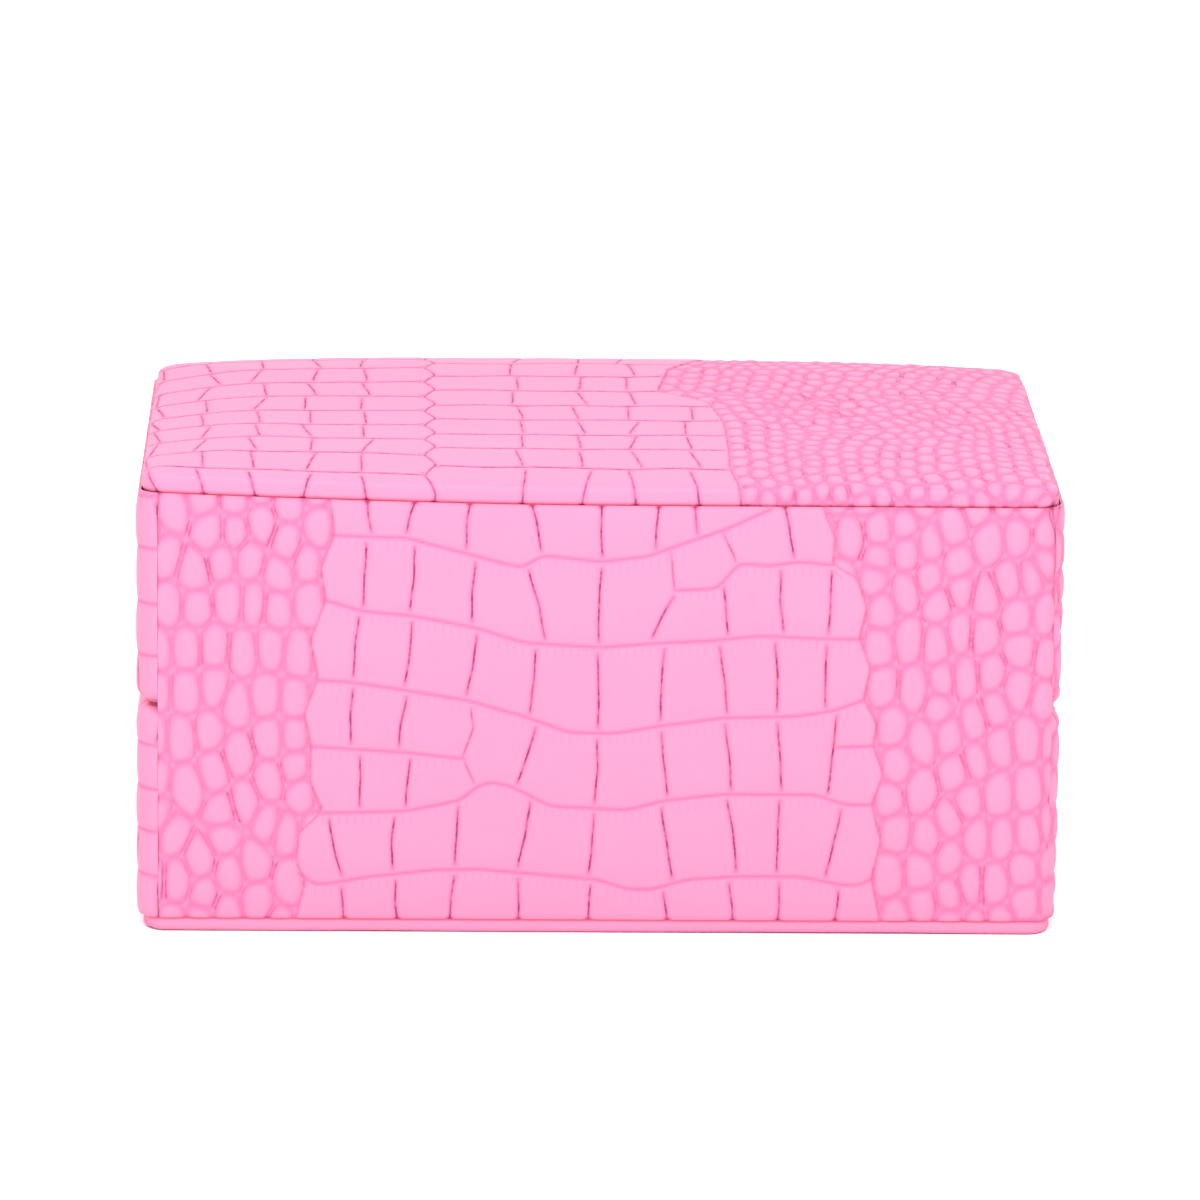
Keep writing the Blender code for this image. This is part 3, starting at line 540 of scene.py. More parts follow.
# Short cracks where a tile of odd shape ends.
SHORT_CRACKS = [
    [(25.8, 89.4), (28.8, 82.8)], [(14.7, 85), (15.7, 76.7)], [(-27.6, 50.5), (-27, 46), (-29.2, 39.5)],
    [(-29, 38.5), (-26.6, 33.5)],
]
PEBBLE = (6.2, 9.0)  # mm, usual width and height
STOP_ABOVE, STOP_BELOW, PAST_EDGE = 1.3, 1.1, 1.3  # mm from a crack's end to a row line, or past a seam


def row_height(name, u):
    """Height of a row line at a place along it."""
    along, height = np.array(BELLY_ROWS[name]).T
    return float(np.interp(u, along, height))


back_plate = new_plate(-96, 99, 2, 96)
left_seeds = beside(BELLY_LEFT, -1, 8, -12, 104, PEBBLE)
right_seeds = beside(BELLY_RIGHT, 1, 9, -12, 104, PEBBLE)
for side, line, seeds in ((-1, BELLY_LEFT, left_seeds), (1, BELLY_RIGHT, right_seeds)):
    border = smooth_line(back_plate["v"][:, 0], from_below(line), 2.0)[:, None]
    press_pebbles(back_plate, seeds, PEBBLE, side * (back_plate["u"] - border) > 0)
for name, points in BELLY_ROWS.items():
    if name not in ("seam", "foot"):
        press_row(back_plate, points)
for (above, below), cracks in BELLY_BANDS.items():
    for top, bottom in cracks:
        high = row_height(above, top) + (PAST_EDGE if above == "seam" else -STOP_ABOVE)
        low = row_height(below, bottom) + (-PAST_EDGE if below == "foot" else STOP_BELOW)
        middle = ((top + bottom) / 2 + rng.uniform(-0.5, 0.5), (high + low) / 2)
        press_crack(back_plate, [(top, high), middle, (bottom, low)])
for line in (BELLY_LEFT, BELLY_RIGHT):
    press_crack(back_plate, line, 0.2)
for line in SHORT_CRACKS:
    press_crack(back_plate, line, 0.5)
settle(back_plate)
print("back plate", back_plate["u"].shape, "pebbles", len(left_seeds) + len(right_seeds))

# %% [markdown]
# ## Wrapping a sheet round the walls
# A sheet is cut flat and glued round the box. Its path along the walls is a core line with an outward
# angle: on a flat wall the core moves, and in a corner only the angle turns. The same trick bends the
# sheet over a padded rim. The fine face carries the pattern; the glued face is plain and coarse.

# %% Wrapping a sheet
CORNER_X, CORNER_Y = 93.6, 56.3  # mm, centres of the corners
WALL_OUT = 5.7  # from a corner's centre to the outer face
RIM_ROUND = 4.0  # mm, radius of the padded rim
RIM_CORE = WALL_OUT - RIM_ROUND
SKIN = 1.2  # mm, thickness of the leather
CORNER_LIFT = 2.2  # how much higher one rear corner of the lid stands


def arc(degrees, radius=WALL_OUT):
    """Length of an arc in millimetres."""
    return math.radians(degrees) * radius


def follow(path, t, n):
    """Where a sheet lies: t along the path, n out from its core line. Path knots are (t, x, y, degrees)."""
    knots = np.array(path).T
    x, y, degrees = (np.interp(t, knots[0], k) for k in knots[1:])
    a = np.radians(degrees)
    return x + n * np.cos(a), y + n * np.sin(a)


def hand_made(points):
    """A hand-wrapped case isn't square: its lid stands a little higher at one end of the back."""
    x, y, z = points.T
    near_back = np.clip((y + 20) / 80, 0, 1) ** 2  # the lift also grows towards +X and up from the split
    lift = CORNER_LIFT * near_back * np.clip(x / 94, 0, 1) ** 1.6 * np.clip((z - 54) / 41, 0, 1.1)
    return np.column_stack([x, y, z + lift])


def select_only(piece):
    """Leaves edit mode and makes one object the only one selected and the active one."""
    if bpy.context.mode == "EDIT_MESH":
        bpy.ops.object.mode_set(mode="OBJECT")
    bpy.ops.object.select_all(action="DESELECT")
    piece.select_set(True)
    bpy.context.view_layer.objects.active = piece


def mesh_piece(name, points, faces, readings):
    """A mesh object from points in millimetres, with one named number per point for each reading."""
    points = hand_made(points)
    mesh = bpy.data.meshes.new(name)
    mesh.from_pydata((points * MM).tolist(), [], faces)
    for key, values in readings.items():
        values = np.asarray(values, np.float32)
        kind = "FLOAT_VECTOR" if values.ndim == 2 else "FLOAT"
        attribute = mesh.attributes.new(key, kind, "POINT")
        attribute.data.foreach_set("vector" if values.ndim == 2 else "value", values.ravel())
    piece = bpy.data.objects.new(name, mesh)
    scene.collection.objects.link(piece)
    select_only(piece)
    bpy.ops.object.mode_set(mode="EDIT")
    bpy.ops.mesh.select_all(action="SELECT")
    bpy.ops.mesh.normals_make_consistent(inside=False)
    bpy.ops.object.mode_set(mode="OBJECT")
    bpy.ops.object.shade_smooth_by_angle(angle=math.radians(60))
    mesh.calc_loop_triangles()
    print(name, len(mesh.loop_triangles), "triangles")
    return piece


def strip(first, second):
    """Quads between two lists of point numbers of equal length."""
    return np.stack([first[:-1], first[1:], second[1:], second[:-1]], -1).tolist()


def sheet_piece(name, fine, plain, readings):
    """A closed sheet. fine and plain are grids of points (rows, columns, xyz) with equal columns."""
    rows, columns = fine.shape[:2]
    face = np.arange(rows * columns).reshape(rows, columns)
    back = rows * columns + np.arange(plain.shape[0] * columns).reshape(-1, columns)
    faces = []
    for grid in (face, back):
        for r in range(len(grid) - 1):
            faces += strip(grid[r], grid[r + 1])
    faces += strip(face[0], back[0]) + strip(face[-1], back[-1])
    for c in (0, -1):
        faces.append([*face[:, c].tolist(), *back[::-1, c].tolist()])
    points = np.concatenate([fine.reshape(-1, 3), plain.reshape(-1, 3)])
    full = {}
    for key, values in readings.items():
        blank = np.full((plain.shape[0] * columns, *values.shape[2:]), FAR if key == "crack" else 0.0)
        full[key] = np.concatenate([values.reshape(rows * columns, *values.shape[2:]), blank])
    return mesh_piece(name, points, faces, full)


def seam_line_and_shadow_dots(read, off_seam):
    """The thin dark joint line of a seam, and dots of painted shadow where a crack runs into it and the
    leather gapes.
    """
    dots = np.clip(1.4 * read["crack_on"] * valley(read["crack"], 0.6) + 0.2 * read["groove"], 0, 1)
    return valley(off_seam, SEAM_WIDTH) * (0.14 + 0.86 * dots)


def wrap(name, plate, path, profile, t_stops, v_stops, plain_stops, seams):
    """Wraps one sheet. Profile knots are (v, core n, core z, degrees towards the rim)."""
    t, v = np.meshgrid(t_stops, v_stops)
    read = read_plate(plate, t, v)
    height = read["height"]
    shade = np.zeros(t.shape)
    for edge in seams:
        height = height * np.clip(np.abs(v - edge) / 1.5, 0.35, 1)
        height = height - SEAM_DIP * (valley(v - edge, 0.75) + 0.6 * valley(v - edge, 3.2))
        shade = np.maximum(shade, seam_line_and_shadow_dots(read, v - edge))
    knots = np.array(profile).T

    def lay(t, v, radius):
        core_n, core_z, degrees = (np.interp(v, knots[0], k) for k in knots[1:])
        a = np.radians(degrees)
        x, y = follow(path, t, core_n + radius * np.cos(a))
        return np.stack([x, y, core_z + radius * np.sin(a)], -1)

    fine = lay(t, v, RIM_ROUND + height)
    plain = lay(*np.meshgrid(t_stops, plain_stops), RIM_ROUND - SKIN)
    readings = {k: read[k] for k in ("groove", "crack", "crack_on")}
    readings["seam"] = shade
    readings["hide"] = np.stack([t, v, read["comb"]], -1)
    return sheet_piece(name, fine, plain, readings)


BACK_PATH = [
    (-CORNER_X - arc(9), CORNER_X, CORNER_Y, 81), (-CORNER_X, CORNER_X, CORNER_Y, 90),
    (CORNER_X, -CORNER_X, CORNER_Y, 90), (CORNER_X + arc(38), -CORNER_X, CORNER_Y, 128),
]
SEAM_LOW, SEAM_HIGH = BACK_LOW - 0.2, BACK_HIGH + 0.2  # the leather closes the glue line
SEAM_WIDTH, SEAM_DIP = 0.45, 0.3
BACK_PROFILE = [(SEAM_LOW, RIM_CORE, SEAM_LOW, 0), (SEAM_HIGH, RIM_CORE, SEAM_HIGH, 0)]
back_leather = wrap(
    "back_leather", back_plate, BACK_PATH, BACK_PROFILE,
    np.linspace(BACK_PATH[0][0], BACK_PATH[-1][0], 430), np.linspace(SEAM_LOW, SEAM_HIGH, 206),
    (SEAM_LOW, 47.8, 48.8, 49.6, 50.4, 51.2, 52.2, SEAM_HIGH), (SEAM_HIGH, SEAM_LOW),
)
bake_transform(back_leather)
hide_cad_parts("back_leather_lower", "back_leather_fold", "back_leather_upper")
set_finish(back_leather, "embossed_leather")

# %% [markdown]
# ## The leather of the other three walls
# One strip goes from the -X corner of the back round that side, the front and the other side. Small
# pebbles start it, then wide belly tiles follow. It folds in over the padded rim, once for the base
# and once for the lid, which leaves the soft notch at both ends of the split.

# %% The strips' plates
STRIP_ROW, STRIP_TILE = 10.4, 15.0  # mm between rows, and between cracks
STRIP_PEBBLE = (5.6, 7.8)
WALLS = 2 * CORNER_Y, 2 * CORNER_X, 2 * CORNER_Y
BEND = arc(90)
strip_t = np.cumsum([0, arc(51.3), WALLS[0], BEND, WALLS[1], BEND, WALLS[2], arc(80.3)])
STRIP_PATH = [
    (t, x, y, degrees)
    for t, x, y, degrees in zip(
        strip_t,
        (-CORNER_X,) * 4 + (CORNER_X,) * 4,
        (CORNER_Y, CORNER_Y) + (-CORNER_Y,) * 4 + (CORNER_Y,) * 2,
        (128.7, 180, 180, 270, 270, 360, 360, 440.3),
    )
]
STRIP_END = strip_t[-1]


def strip_plate(v0, v1, shift):
    """The pattern of one strip: pebbles for its first part, then belly tiles in level rows."""
    plate = new_plate(-1, STRIP_END + 1, v0 - 1, v1 + 1)
    flank = [(96 + 3 * math.sin(v / 7), v) for v in np.arange(v1 + 3, v0 - 3, -3.0)]
    edge = smooth_line(plate["v"][:, 0], from_below(flank))[:, None]
    seeds = beside(flank, -1, 19, v0 - 12, v1 + 12, STRIP_PEBBLE)
    press_pebbles(plate, seeds, STRIP_PEBBLE, plate["u"] < edge)
    along = np.arange(94, STRIP_END + 8, 8.0)
    rows = [np.full(along.size, v0 - 2.0)]
    for level in np.arange(v0 + shift, v1, STRIP_ROW):
        wave = level + 1.4 * np.sin(along / 31 + level / 17) + rng.uniform(-0.4, 0.4, along.size)
        rows.append(wave)
        press_row(plate, list(zip(along, wave)))
    rows.append(np.full(along.size, v1 + 2.0))
    for k, (below, above) in enumerate(zip(rows, rows[1:])):
        for u in np.arange(100 + (k % 2) * STRIP_TILE * 0.45, STRIP_END + 3, STRIP_TILE):
            u = u + rng.uniform(-1.6, 1.6)
            low, high = float(np.interp(u, along, below)), float(np.interp(u, along, above))
            lean = rng.uniform(-0.9, 0.9)
            middle = (u + rng.uniform(-0.4, 0.4), (low + high) / 2)
            press_crack(plate, [(u - lean, high - 1.2), middle, (u + lean, low + 1.0)])
    press_crack(plate, flank, 0.5)
    return settle(plate)


# %% The two strips
BASE_RIM, LID_RIM = 49.85, 50.15
RIM_ARC = arc(90, RIM_ROUND)
RIM_FLAT = RIM_CORE - 0.3
base_turn = BASE_RIM - RIM_ROUND  # height where the wall starts to bend inwards
lid_turn = LID_RIM + RIM_ROUND
BASE_PROFILE = [
    (SEAM_LOW, RIM_CORE, SEAM_LOW, 0), (base_turn, RIM_CORE, base_turn, 0),
    (base_turn + RIM_ARC, RIM_CORE, base_turn, 90), (base_turn + RIM_ARC + RIM_FLAT, 0.3, base_turn, 90),
]
LID_PROFILE = [
    (lid_turn - RIM_ARC - RIM_FLAT, 0.3, lid_turn, -90), (lid_turn - RIM_ARC, RIM_CORE, lid_turn, -90),
    (lid_turn, RIM_CORE, lid_turn, 0), (SEAM_HIGH, RIM_CORE, SEAM_HIGH, 0),
]
PLAIN_BENDS = np.linspace(0, 1, 5)
for name, body, node, profile, seam, shift in (
    ("base_side_leather_wrap", "base", "base_side_leather", BASE_PROFILE, SEAM_LOW, 8.0),
    ("lid_side_leather_wrap", "lid", "lid_side_leather", LID_PROFILE, SEAM_HIGH, 5.0),
):
    low, high = profile[0][0], profile[-1][0]
    bend = profile[1][0], profile[2][0]
    plain_stops = [low, *(bend[0] + PLAIN_BENDS * (bend[1] - bend[0])), high]
    strip_piece = wrap(
        name, strip_plate(low, high, shift), STRIP_PATH, profile,
        np.linspace(0, STRIP_END, 850), np.linspace(low, high, 98), plain_stops, [seam],
    )
    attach(strip_piece, body)
    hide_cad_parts(node)
    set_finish(strip_piece, "embossed_leather")

# %% [markdown]
# ## The covers
# The top is a board with foam on it, and one sheet of leather pulled down over its edges, so it has a low
# crown and a rolled edge. The bottom is a thin wrapped board. A cover is a grid in the middle, and
# round it rings that run out over the edge. Near a corner the rings' points fan out round it.

# %% The covers' shape
TOP_LOW = 95.0
COVER_X, COVER_Y, COVER_ROUND = 98.0, 61.1, 5.0
MID_X, MID_Y = COVER_X - COVER_ROUND, COVER_Y - COVER_ROUND
FAN = 12.0  # mm from a corner in which the points spread


def ring(points, radius):
    """Points on the edge of the middle rectangle, moved out to a rounded outline of this radius."""
    x, y = points.T
    on_long = np.abs(np.abs(y) - MID_Y) < 1e-6
    along = np.where(on_long, MID_X - np.abs(x), MID_Y - np.abs(y))
    quarter = math.pi / 4 * radius
    share = np.clip(along / FAN, 0, 1)
    s = along + quarter * share * share * (3 - 2 * share)
    a = np.clip(math.pi / 4 - s / max(radius, 1e-6), 0, math.pi / 4)
    back = np.maximum(s - quarter, 0)
    out, side = radius * np.cos(a), radius * np.sin(a)
    long_xy = np.sign(x) * (MID_X - back + side), np.sign(y) * (MID_Y + out)
    short_xy = np.sign(x) * (MID_X + out), np.sign(y) * (MID_Y - back + side)
    return np.stack([np.where(on_long, a_, b_) for a_, b_ in zip(long_xy, short_xy)], -1)


def resample(profile, spacing):
    """Evenly spaced points on a line of (out, z) points, and how far along it each one is."""
    profile = np.array(profile)
    length = np.concatenate([[0], np.cumsum(np.hypot(*np.diff(profile, axis=0).T))])
    stops = np.linspace(0, length[-1], int(round(length[-1] / spacing)) + 1)
    return np.stack([np.interp(stops, length, p) for p in profile.T], -1), stops


def cover_piece(name, plate, spacing, middle_z, edge, edge_spacing, inner, up, seam_z):
    """A leather cover. Edge is its profile from the middle rectangle outwards, as (out, z).

    Inner is the hidden side's profile back to the middle, up is 1 or -1, and seam_z is the seam's height.
    """
    xs = np.linspace(MID_X, -MID_X, int(2 * MID_X / spacing) + 1)
    ys = np.linspace(MID_Y, -MID_Y, int(2 * MID_Y / spacing) + 1)
    x, y = np.meshgrid(xs, ys)
    number = np.arange(x.size).reshape(x.shape)
    border = np.concatenate([number[0, :-1], number[:-1, -1], number[-1, :0:-1], number[:0:-1, 0]])
    flat = np.stack([x.ravel(), y.ravel()], -1)
    points, hide, readings = [], [], []

    def lay(place, z, at, read, off_seam):
        points.append(np.column_stack([place, z]))
        hide.append(np.column_stack([-at[:, 0], COVER_Y - at[:, 1], read["comb"]]))
        shade = seam_line_and_shadow_dots(read, np.float64(off_seam))
        readings.append([read["groove"], read["crack"], read["crack_on"], shade])

    read = read_plate(plate, -flat[:, 0], COVER_Y - flat[:, 1])
    lay(flat, middle_z(flat) + up * read["height"], flat, read, FAR)
    outline, length = resample(edge, edge_spacing)
    slope = np.gradient(outline, axis=0)
    slope /= np.hypot(*slope.T)[:, None]
    for (out, z), (d_out, d_z), run in list(zip(outline, slope, length))[1:]:
        at = ring(flat[border], run)
        read = read_plate(plate, -at[:, 0], COVER_Y - at[:, 1])
        lift = read["height"] * np.clip((abs(z - seam_z)) / 0.8, 0, 1)
        place = ring(flat[border], out)
        heading = ring(flat[border], out + 1) - place
        place = place + heading * (-d_z * lift * up)[:, None]
        lay(place, z + up * d_out * lift, at, read, z - seam_z)
    rings = len(points) - 1
    for out, z in inner:
        place = ring(flat[border], out) if out >= 0 else flat[border] * (1 + out / np.array([MID_X, MID_Y]))
        points.append(np.column_stack([place, np.full(len(border), z)]))
        hide.append(np.zeros((len(border), 3)))
        blank = np.zeros(len(border))
        readings.append([blank, blank + FAR, blank, blank])
    faces = []
    for r in range(len(ys) - 1):
        faces += strip(number[r], number[r + 1])
    last = np.append(border, border[0])
    for k in range(rings + len(inner)):
        start = x.size + k * len(border)
        following = np.append(np.arange(start, start + len(border)), start)
        faces += strip(last, following)
        last = following
    faces.append(last[:-1].tolist())
    points = np.concatenate(points)
    if up > 0:
        points[:, 2] = pull_down(points)
    names = ("groove", "crack", "crack_on", "seam")
    full = {n: np.concatenate([r[i] for r in readings]) for i, n in enumerate(names)}
    full["hide"] = np.concatenate(hide)
    return mesh_piece(name, points, faces, full)


def pull_down(points):
    """Heights of the top cover, pulled tight at the front corners and fuller between them."""
    x, y, z = points.T
    front = np.clip((30 - y) / 90, 0, 1) ** 2
    wide = np.abs(x) / COVER_X
    fuller = 1 + front * (0.2 * (1 - wide**2) - 0.34 * wide**5)
    return TOP_LOW + (z - TOP_LOW) * fuller


# %% [markdown]
# ## The pattern of the top
# A zigzag runs from back to front where the tiles of the two halves of the belly meet like teeth.
# Wide tiles lie on both sides of it. Beyond those on the -X side come the flank's small pebbles, with
# one swirl in them. This leather is pulled tight over foam, which flattens its grooves.

# %% The top's plate
ZIGZAG_U = -36.6
TOP_ROW = 13.8  # mm between rows
TOP_PEBBLE = (4.3, 6.2)
SWIRL_U, SWIRL_V, SWIRL_REACH, SWIRL_TURN = 63.5, 58.0, 16, 1.1
PULLED_FLAT = 0.55  # share of the grooves' depth that is left
COVER_PLATE = -104, 104, -6, 128  # u and v from the back edge, with some to spare
top_plate = new_plate(*COVER_PLATE)
flank_line = [(29.5, 128), (17, 101), (14, 80), (25, 70), (27.6, 52), (27.8, 30), (27.5, 12), (30, -6)]
flank_u = smooth_line(top_plate["v"][:, 0], from_below(flank_line))[:, None]
top_seeds = []
for u, v in beside(flank_line, 1, 24, -14, 134, TOP_PEBBLE):
    du, dv = u - SWIRL_U, v - SWIRL_V
    turn = SWIRL_TURN * math.exp(-((np.hypot(du, dv) / SWIRL_REACH) ** 2))
    u = SWIRL_U + du * math.cos(turn) - dv * math.sin(turn)
    v = SWIRL_V + du * math.sin(turn) + dv * math.cos(turn)
    top_seeds.append((u, v))
press_pebbles(top_plate, top_seeds, TOP_PEBBLE, top_plate["u"] > flank_u)


def top_rows(first, u_low, u_high, cracks):
    """Presses the rows and cracks of one half of the top's belly."""
    lines = [-7.0, *np.arange(first, 128, TOP_ROW), 129.0]
    for last, level in zip(lines, lines[1:]):
        if level != lines[-1]:
            along = np.linspace(u_low, min(u_high, u_at(flank_line, level)), 7)
            press_row(top_plate, list(zip(along, level + rng.uniform(-0.7, 0.7, 7))), 0.8)
        top, bottom = level - 1.2, last + 1.1
        for u in cracks:
            shift = 0 if level < 8 else rng.uniform(-1.3, 1.3)
            lean = rng.uniform(-1.3, 1.3)
            if u + 3 <= u_at(flank_line, (top + bottom) / 2):
                press_crack(top_plate, [(u + shift + lean, top), (u + shift - lean, bottom)], 0.9)


top_rows(4.6, -104, ZIGZAG_U - 0.8, (-97, -85.5, -74.3, -63, -50.5))
top_rows(10.6, ZIGZAG_U + 0.8, 27, (-17.1, -3.8, 7.8, 20.2))
zigzag = [(ZIGZAG_U + (1.3 if k % 2 else -1.3), 4.6 + TOP_ROW / 2 * k) for k in range(-2, 19)][::-1]
press_crack(top_plate, zigzag, 0.8)
press_crack(top_plate, flank_line, 0.5)
settle(top_plate)
top_plate["height"] *= PULLED_FLAT

# %% The top cover
TOP_EDGE_Z = 99.2
CROWN, CROWN_REACH = 2.4, 26.0
ROLL_RADIUS = 1.9


def tucked_in(*heights):
    """The end of a cover's profile, where it turns in to meet the walls at the seam."""
    return [(COVER_ROUND - back, z) for back, z in zip((0, 0.1, 0.35, 0.6), heights)]


def crown(xy):
    """Height of the top: a low rise of foam that fades out towards the edge."""
    inset = np.minimum(COVER_X - np.abs(xy[:, 0]), COVER_Y - np.abs(xy[:, 1]))
    return TOP_EDGE_Z + CROWN * np.sin(np.clip(inset / CROWN_REACH, 0, 1) * math.pi / 2)


top_edge = [
    (COVER_ROUND - i, TOP_EDGE_Z + CROWN * math.sin(i / CROWN_REACH * math.pi / 2)) for i in (5, 4, 3, 2.4)
]
top_edge += [
    (COVER_ROUND - ROLL_RADIUS * (1 - math.sin(a)), TOP_EDGE_Z + 0.1 - ROLL_RADIUS * (1 - math.cos(a)))
    for a in np.radians(np.arange(0, 91, 10))
]
top_edge += tucked_in(96.0, 95.5, TOP_LOW, 94.7)
top_inner = [(4.0, 94.7), (4.0, 97.4), (2.8, 98.4), (0.0, 98.8), (-8.0, 99.9), (-21.0, 100.6)]
top_cover = cover_piece("top_cover_leather", top_plate, 0.58, crown, top_edge, 0.44, top_inner, 1, TOP_LOW)
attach(top_cover, "lid")
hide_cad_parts("top_leather", "top_foam")
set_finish(top_cover, "embossed_leather")

# %% The bottom cover
BOTTOM_HIGH, BOTTOM_ROUND = 3.2, 1.2
bottom_plate = new_plate(*COVER_PLATE)
for level in np.arange(2, 128, 15.0):
    along = np.linspace(-104, 104, 12)
    press_row(bottom_plate, list(zip(along, level + rng.uniform(-0.9, 0.9, 12))))
    for u in np.arange(-100 + rng.uniform(0, 6), 104, 12.6):
        ends = [(u + rng.uniform(-0.8, 0.8), level + up) for up in (13.8, 1.2)]
        press_crack(bottom_plate, ends)
settle(bottom_plate)
bottom_edge = [(0, 0.0), (COVER_ROUND - BOTTOM_ROUND, 0.0)]
bottom_edge += [
    (COVER_ROUND - BOTTOM_ROUND * (1 - math.sin(a)), BOTTOM_ROUND * (1 - math.cos(a)))
    for a in np.radians(np.arange(15, 91, 15))
]
bottom_edge += tucked_in(2.2, 2.8, BOTTOM_HIGH, 3.6)
bottom_cover = cover_piece(
    "bottom_cover_leather", bottom_plate, 0.62, lambda xy: np.full(len(xy), 0.0), bottom_edge, 0.44,
    [(0.0, 3.4)], -1, BOTTOM_HIGH,
)
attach(bottom_cover, "base")
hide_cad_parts("bottom_leather")
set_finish(bottom_cover, "embossed_leather")

# %% [markdown]
# ## Finish: pressed polyurethane leather
# A soft pink coat over cloth, pressed hot. The coat gives a broad satin gloss; the floors of the grooves are
# painted a deeper pink as shade, the cracks get darker painted shade still, and a seam is a dark joint line
# with dots of painted shadow.

# %% Pressed leather
pressed_leather, tree, shader = new_finish(
    "pressed_polyurethane_leather",
    {"IOR": 1.5, "Specular IOR Level": 0.15},
)


def reading(name, output="Fac"):
    """What the leather's points say about their place in the pattern."""
    return add_node(tree, "Attribute", {"attribute_name": name}).outputs[output]


groove, crack, crack_on, seam = (reading(name) for name in ("groove", "crack", "crack_on", "seam"))
hide_parts = add_node(tree, "SeparateXYZ", {}, {0: reading("hide", "Vector")}).outputs
mottle, grain, ragged, patchy = (noise(tree, *size) for size in ((60, 3), (2200,), (1300,), (420,)))

# The cracks' painted shade: a dark core with ragged edges, weaker in patches. The same core also dents the
# bump.
CRACK_RAGGED, CRACK_CORE, CRACK_EDGE = 0.18, 0.08, 0.26  # mm from the middle of a crack
crack_rough = calc(tree, "MULTIPLY_ADD", ragged, 2 * CRACK_RAGGED, -CRACK_RAGGED)
crack_away = calc(tree, "ADD", calc(tree, "ABSOLUTE", crack), crack_rough)
crack_core = spread(tree, crack_away, CRACK_CORE, CRACK_EDGE, 1.0, 0.0)
crack_shade_patches = spread(tree, patchy, 0.38, 0.6, 0.4)
crack_dip_and_shade = calc(tree, "MULTIPLY", calc(tree, "MULTIPLY", crack_core, crack_on), crack_shade_patches)

COMB_STEP = 1.7  # mm between the comb's dashes
dashes = calc(tree, "SINE", calc(tree, "MULTIPLY", hide_parts[0], 2 * math.pi / COMB_STEP))
comb = calc(tree, "MULTIPLY", spread(tree, dashes, 0.4, 0.9), hide_parts[2])

colour = tint(tree, "#E582A4", mottle, "#E786A8")
colour = tint(tree, colour, calc(tree, "MULTIPLY", comb, mottle), "#D87AA2")
# painted shade: the grooves' floors are coloured a deeper pink for the shade that falls in them
colour = tint(tree, colour, calc(tree, "MULTIPLY", groove, 0.8), "#C05A8E")
# painted shade: the cracks' dark core is coloured in for the shade inside them
colour = tint(tree, colour, crack_dip_and_shade, "#8C3468")
# the seam's own dark joint line, with dots of painted shadow where a crack gapes into it
colour = tint(tree, colour, seam, "#A0164E")
height = calc(tree, "MULTIPLY_ADD", crack_dip_and_shade, -0.15, calc(tree, "MULTIPLY", grain, 0.05))
height = calc(tree, "MULTIPLY_ADD", comb, -0.03, height)
dress(tree, shader, colour, height, 1.0, 1.0, spread(tree, groove, 0.0, 1.0, 0.42, 0.6))
print("leather with", len(tree.nodes), "nodes")

# %% [markdown]
# ## Tools for the pieces that are shaped by hand
# From here on, pieces are ordinary modelling: a primitive at its size and place, a few edit-mode steps on
# faces or edges that are picked by where they are, and modifiers that are applied.

# %% Modelling helpers
def keep_place(name):
    """Names the new primitive and puts its place into its mesh."""
    piece = bpy.context.object
    piece.name = name
    piece.data.name = name
    bpy.ops.object.transform_apply(location=True, rotation=True, scale=True)
    return piece


def add_block(name, low, high):
    """A block from its lowest to its highest corner, in millimetres."""
    low, high = Vector(low) * MM, Vector(high) * MM
    bpy.ops.object.select_all(action="DESELECT")
    bpy.ops.mesh.primitive_cube_add(size=1, location=(low + high) / 2, scale=high - low)
    return keep_place(name)


def pick(piece, test, kind="FACE"):
    """Opens a piece in edit mode and selects the faces or edges that pass a test on middle and normal."""
    select_only(piece)
    bpy.ops.object.mode_set(mode="EDIT")
    bpy.ops.mesh.select_mode(type=kind)
    bpy.ops.mesh.select_all(action="DESELECT")
    opened = bmesh.from_edit_mesh(piece.data)
    for part in opened.faces if kind == "FACE" else opened.edges:
        middle = sum((v.co for v in part.verts), Vector()) / len(part.verts) / MM
        if test(middle, part.normal if kind == "FACE" else (part.verts[1].co - part.verts[0].co) / MM):
            part.select_set(True)
    bmesh.update_edit_mesh(piece.data)


def close(piece, smooth=40):
    """Leaves edit mode, with smooth shading up to an angle in degrees."""
    select_only(piece)
    bpy.ops.object.shade_smooth_by_angle(angle=math.radians(smooth))
    return piece


def round_edges(piece, width, segments, sharpest, smooth):
    """Rounds the edges that are sharper than an angle in degrees, and smooths the shading."""
    turn = math.radians(sharpest)
    apply_modifier(
        piece, "BEVEL", width=width * MM, segments=segments, limit_method="ANGLE", angle_limit=turn,
    )
    close(piece, smooth)


def apply_modifier(piece, kind, **settings):
    """Adds a modifier, sets it and applies it."""
    select_only(piece)
    made = piece.modifiers.new(kind.lower(), kind)
    for key, value in settings.items():
        setattr(made, key, value)
    bpy.ops.object.modifier_apply(modifier=made.name)


def mould(piece, change):
    """Moves every point of a piece by a rule on arrays of x, y and z in millimetres."""
    points = np.empty(len(piece.data.vertices) * 3)
    piece.data.vertices.foreach_get("co", points)
    points = points.reshape(-1, 3) / MM
    points = np.column_stack(change(*points.T)) * MM
    piece.data.vertices.foreach_set("co", points.ravel())
    piece.data.update()


def hand_in(piece, body, slot, *nodes):
    """Puts a finished piece on its body, in place of its CAD nodes, and says how big it is."""
    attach(piece, body)
    if nodes:
        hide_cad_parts(*nodes)
    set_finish(piece, slot)
    print(piece.name, "on", body, len(piece.data.polygons), "faces")


def corners(node):
    """Lowest and highest corner of a CAD node, in millimetres."""
    return [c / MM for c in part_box(node)]


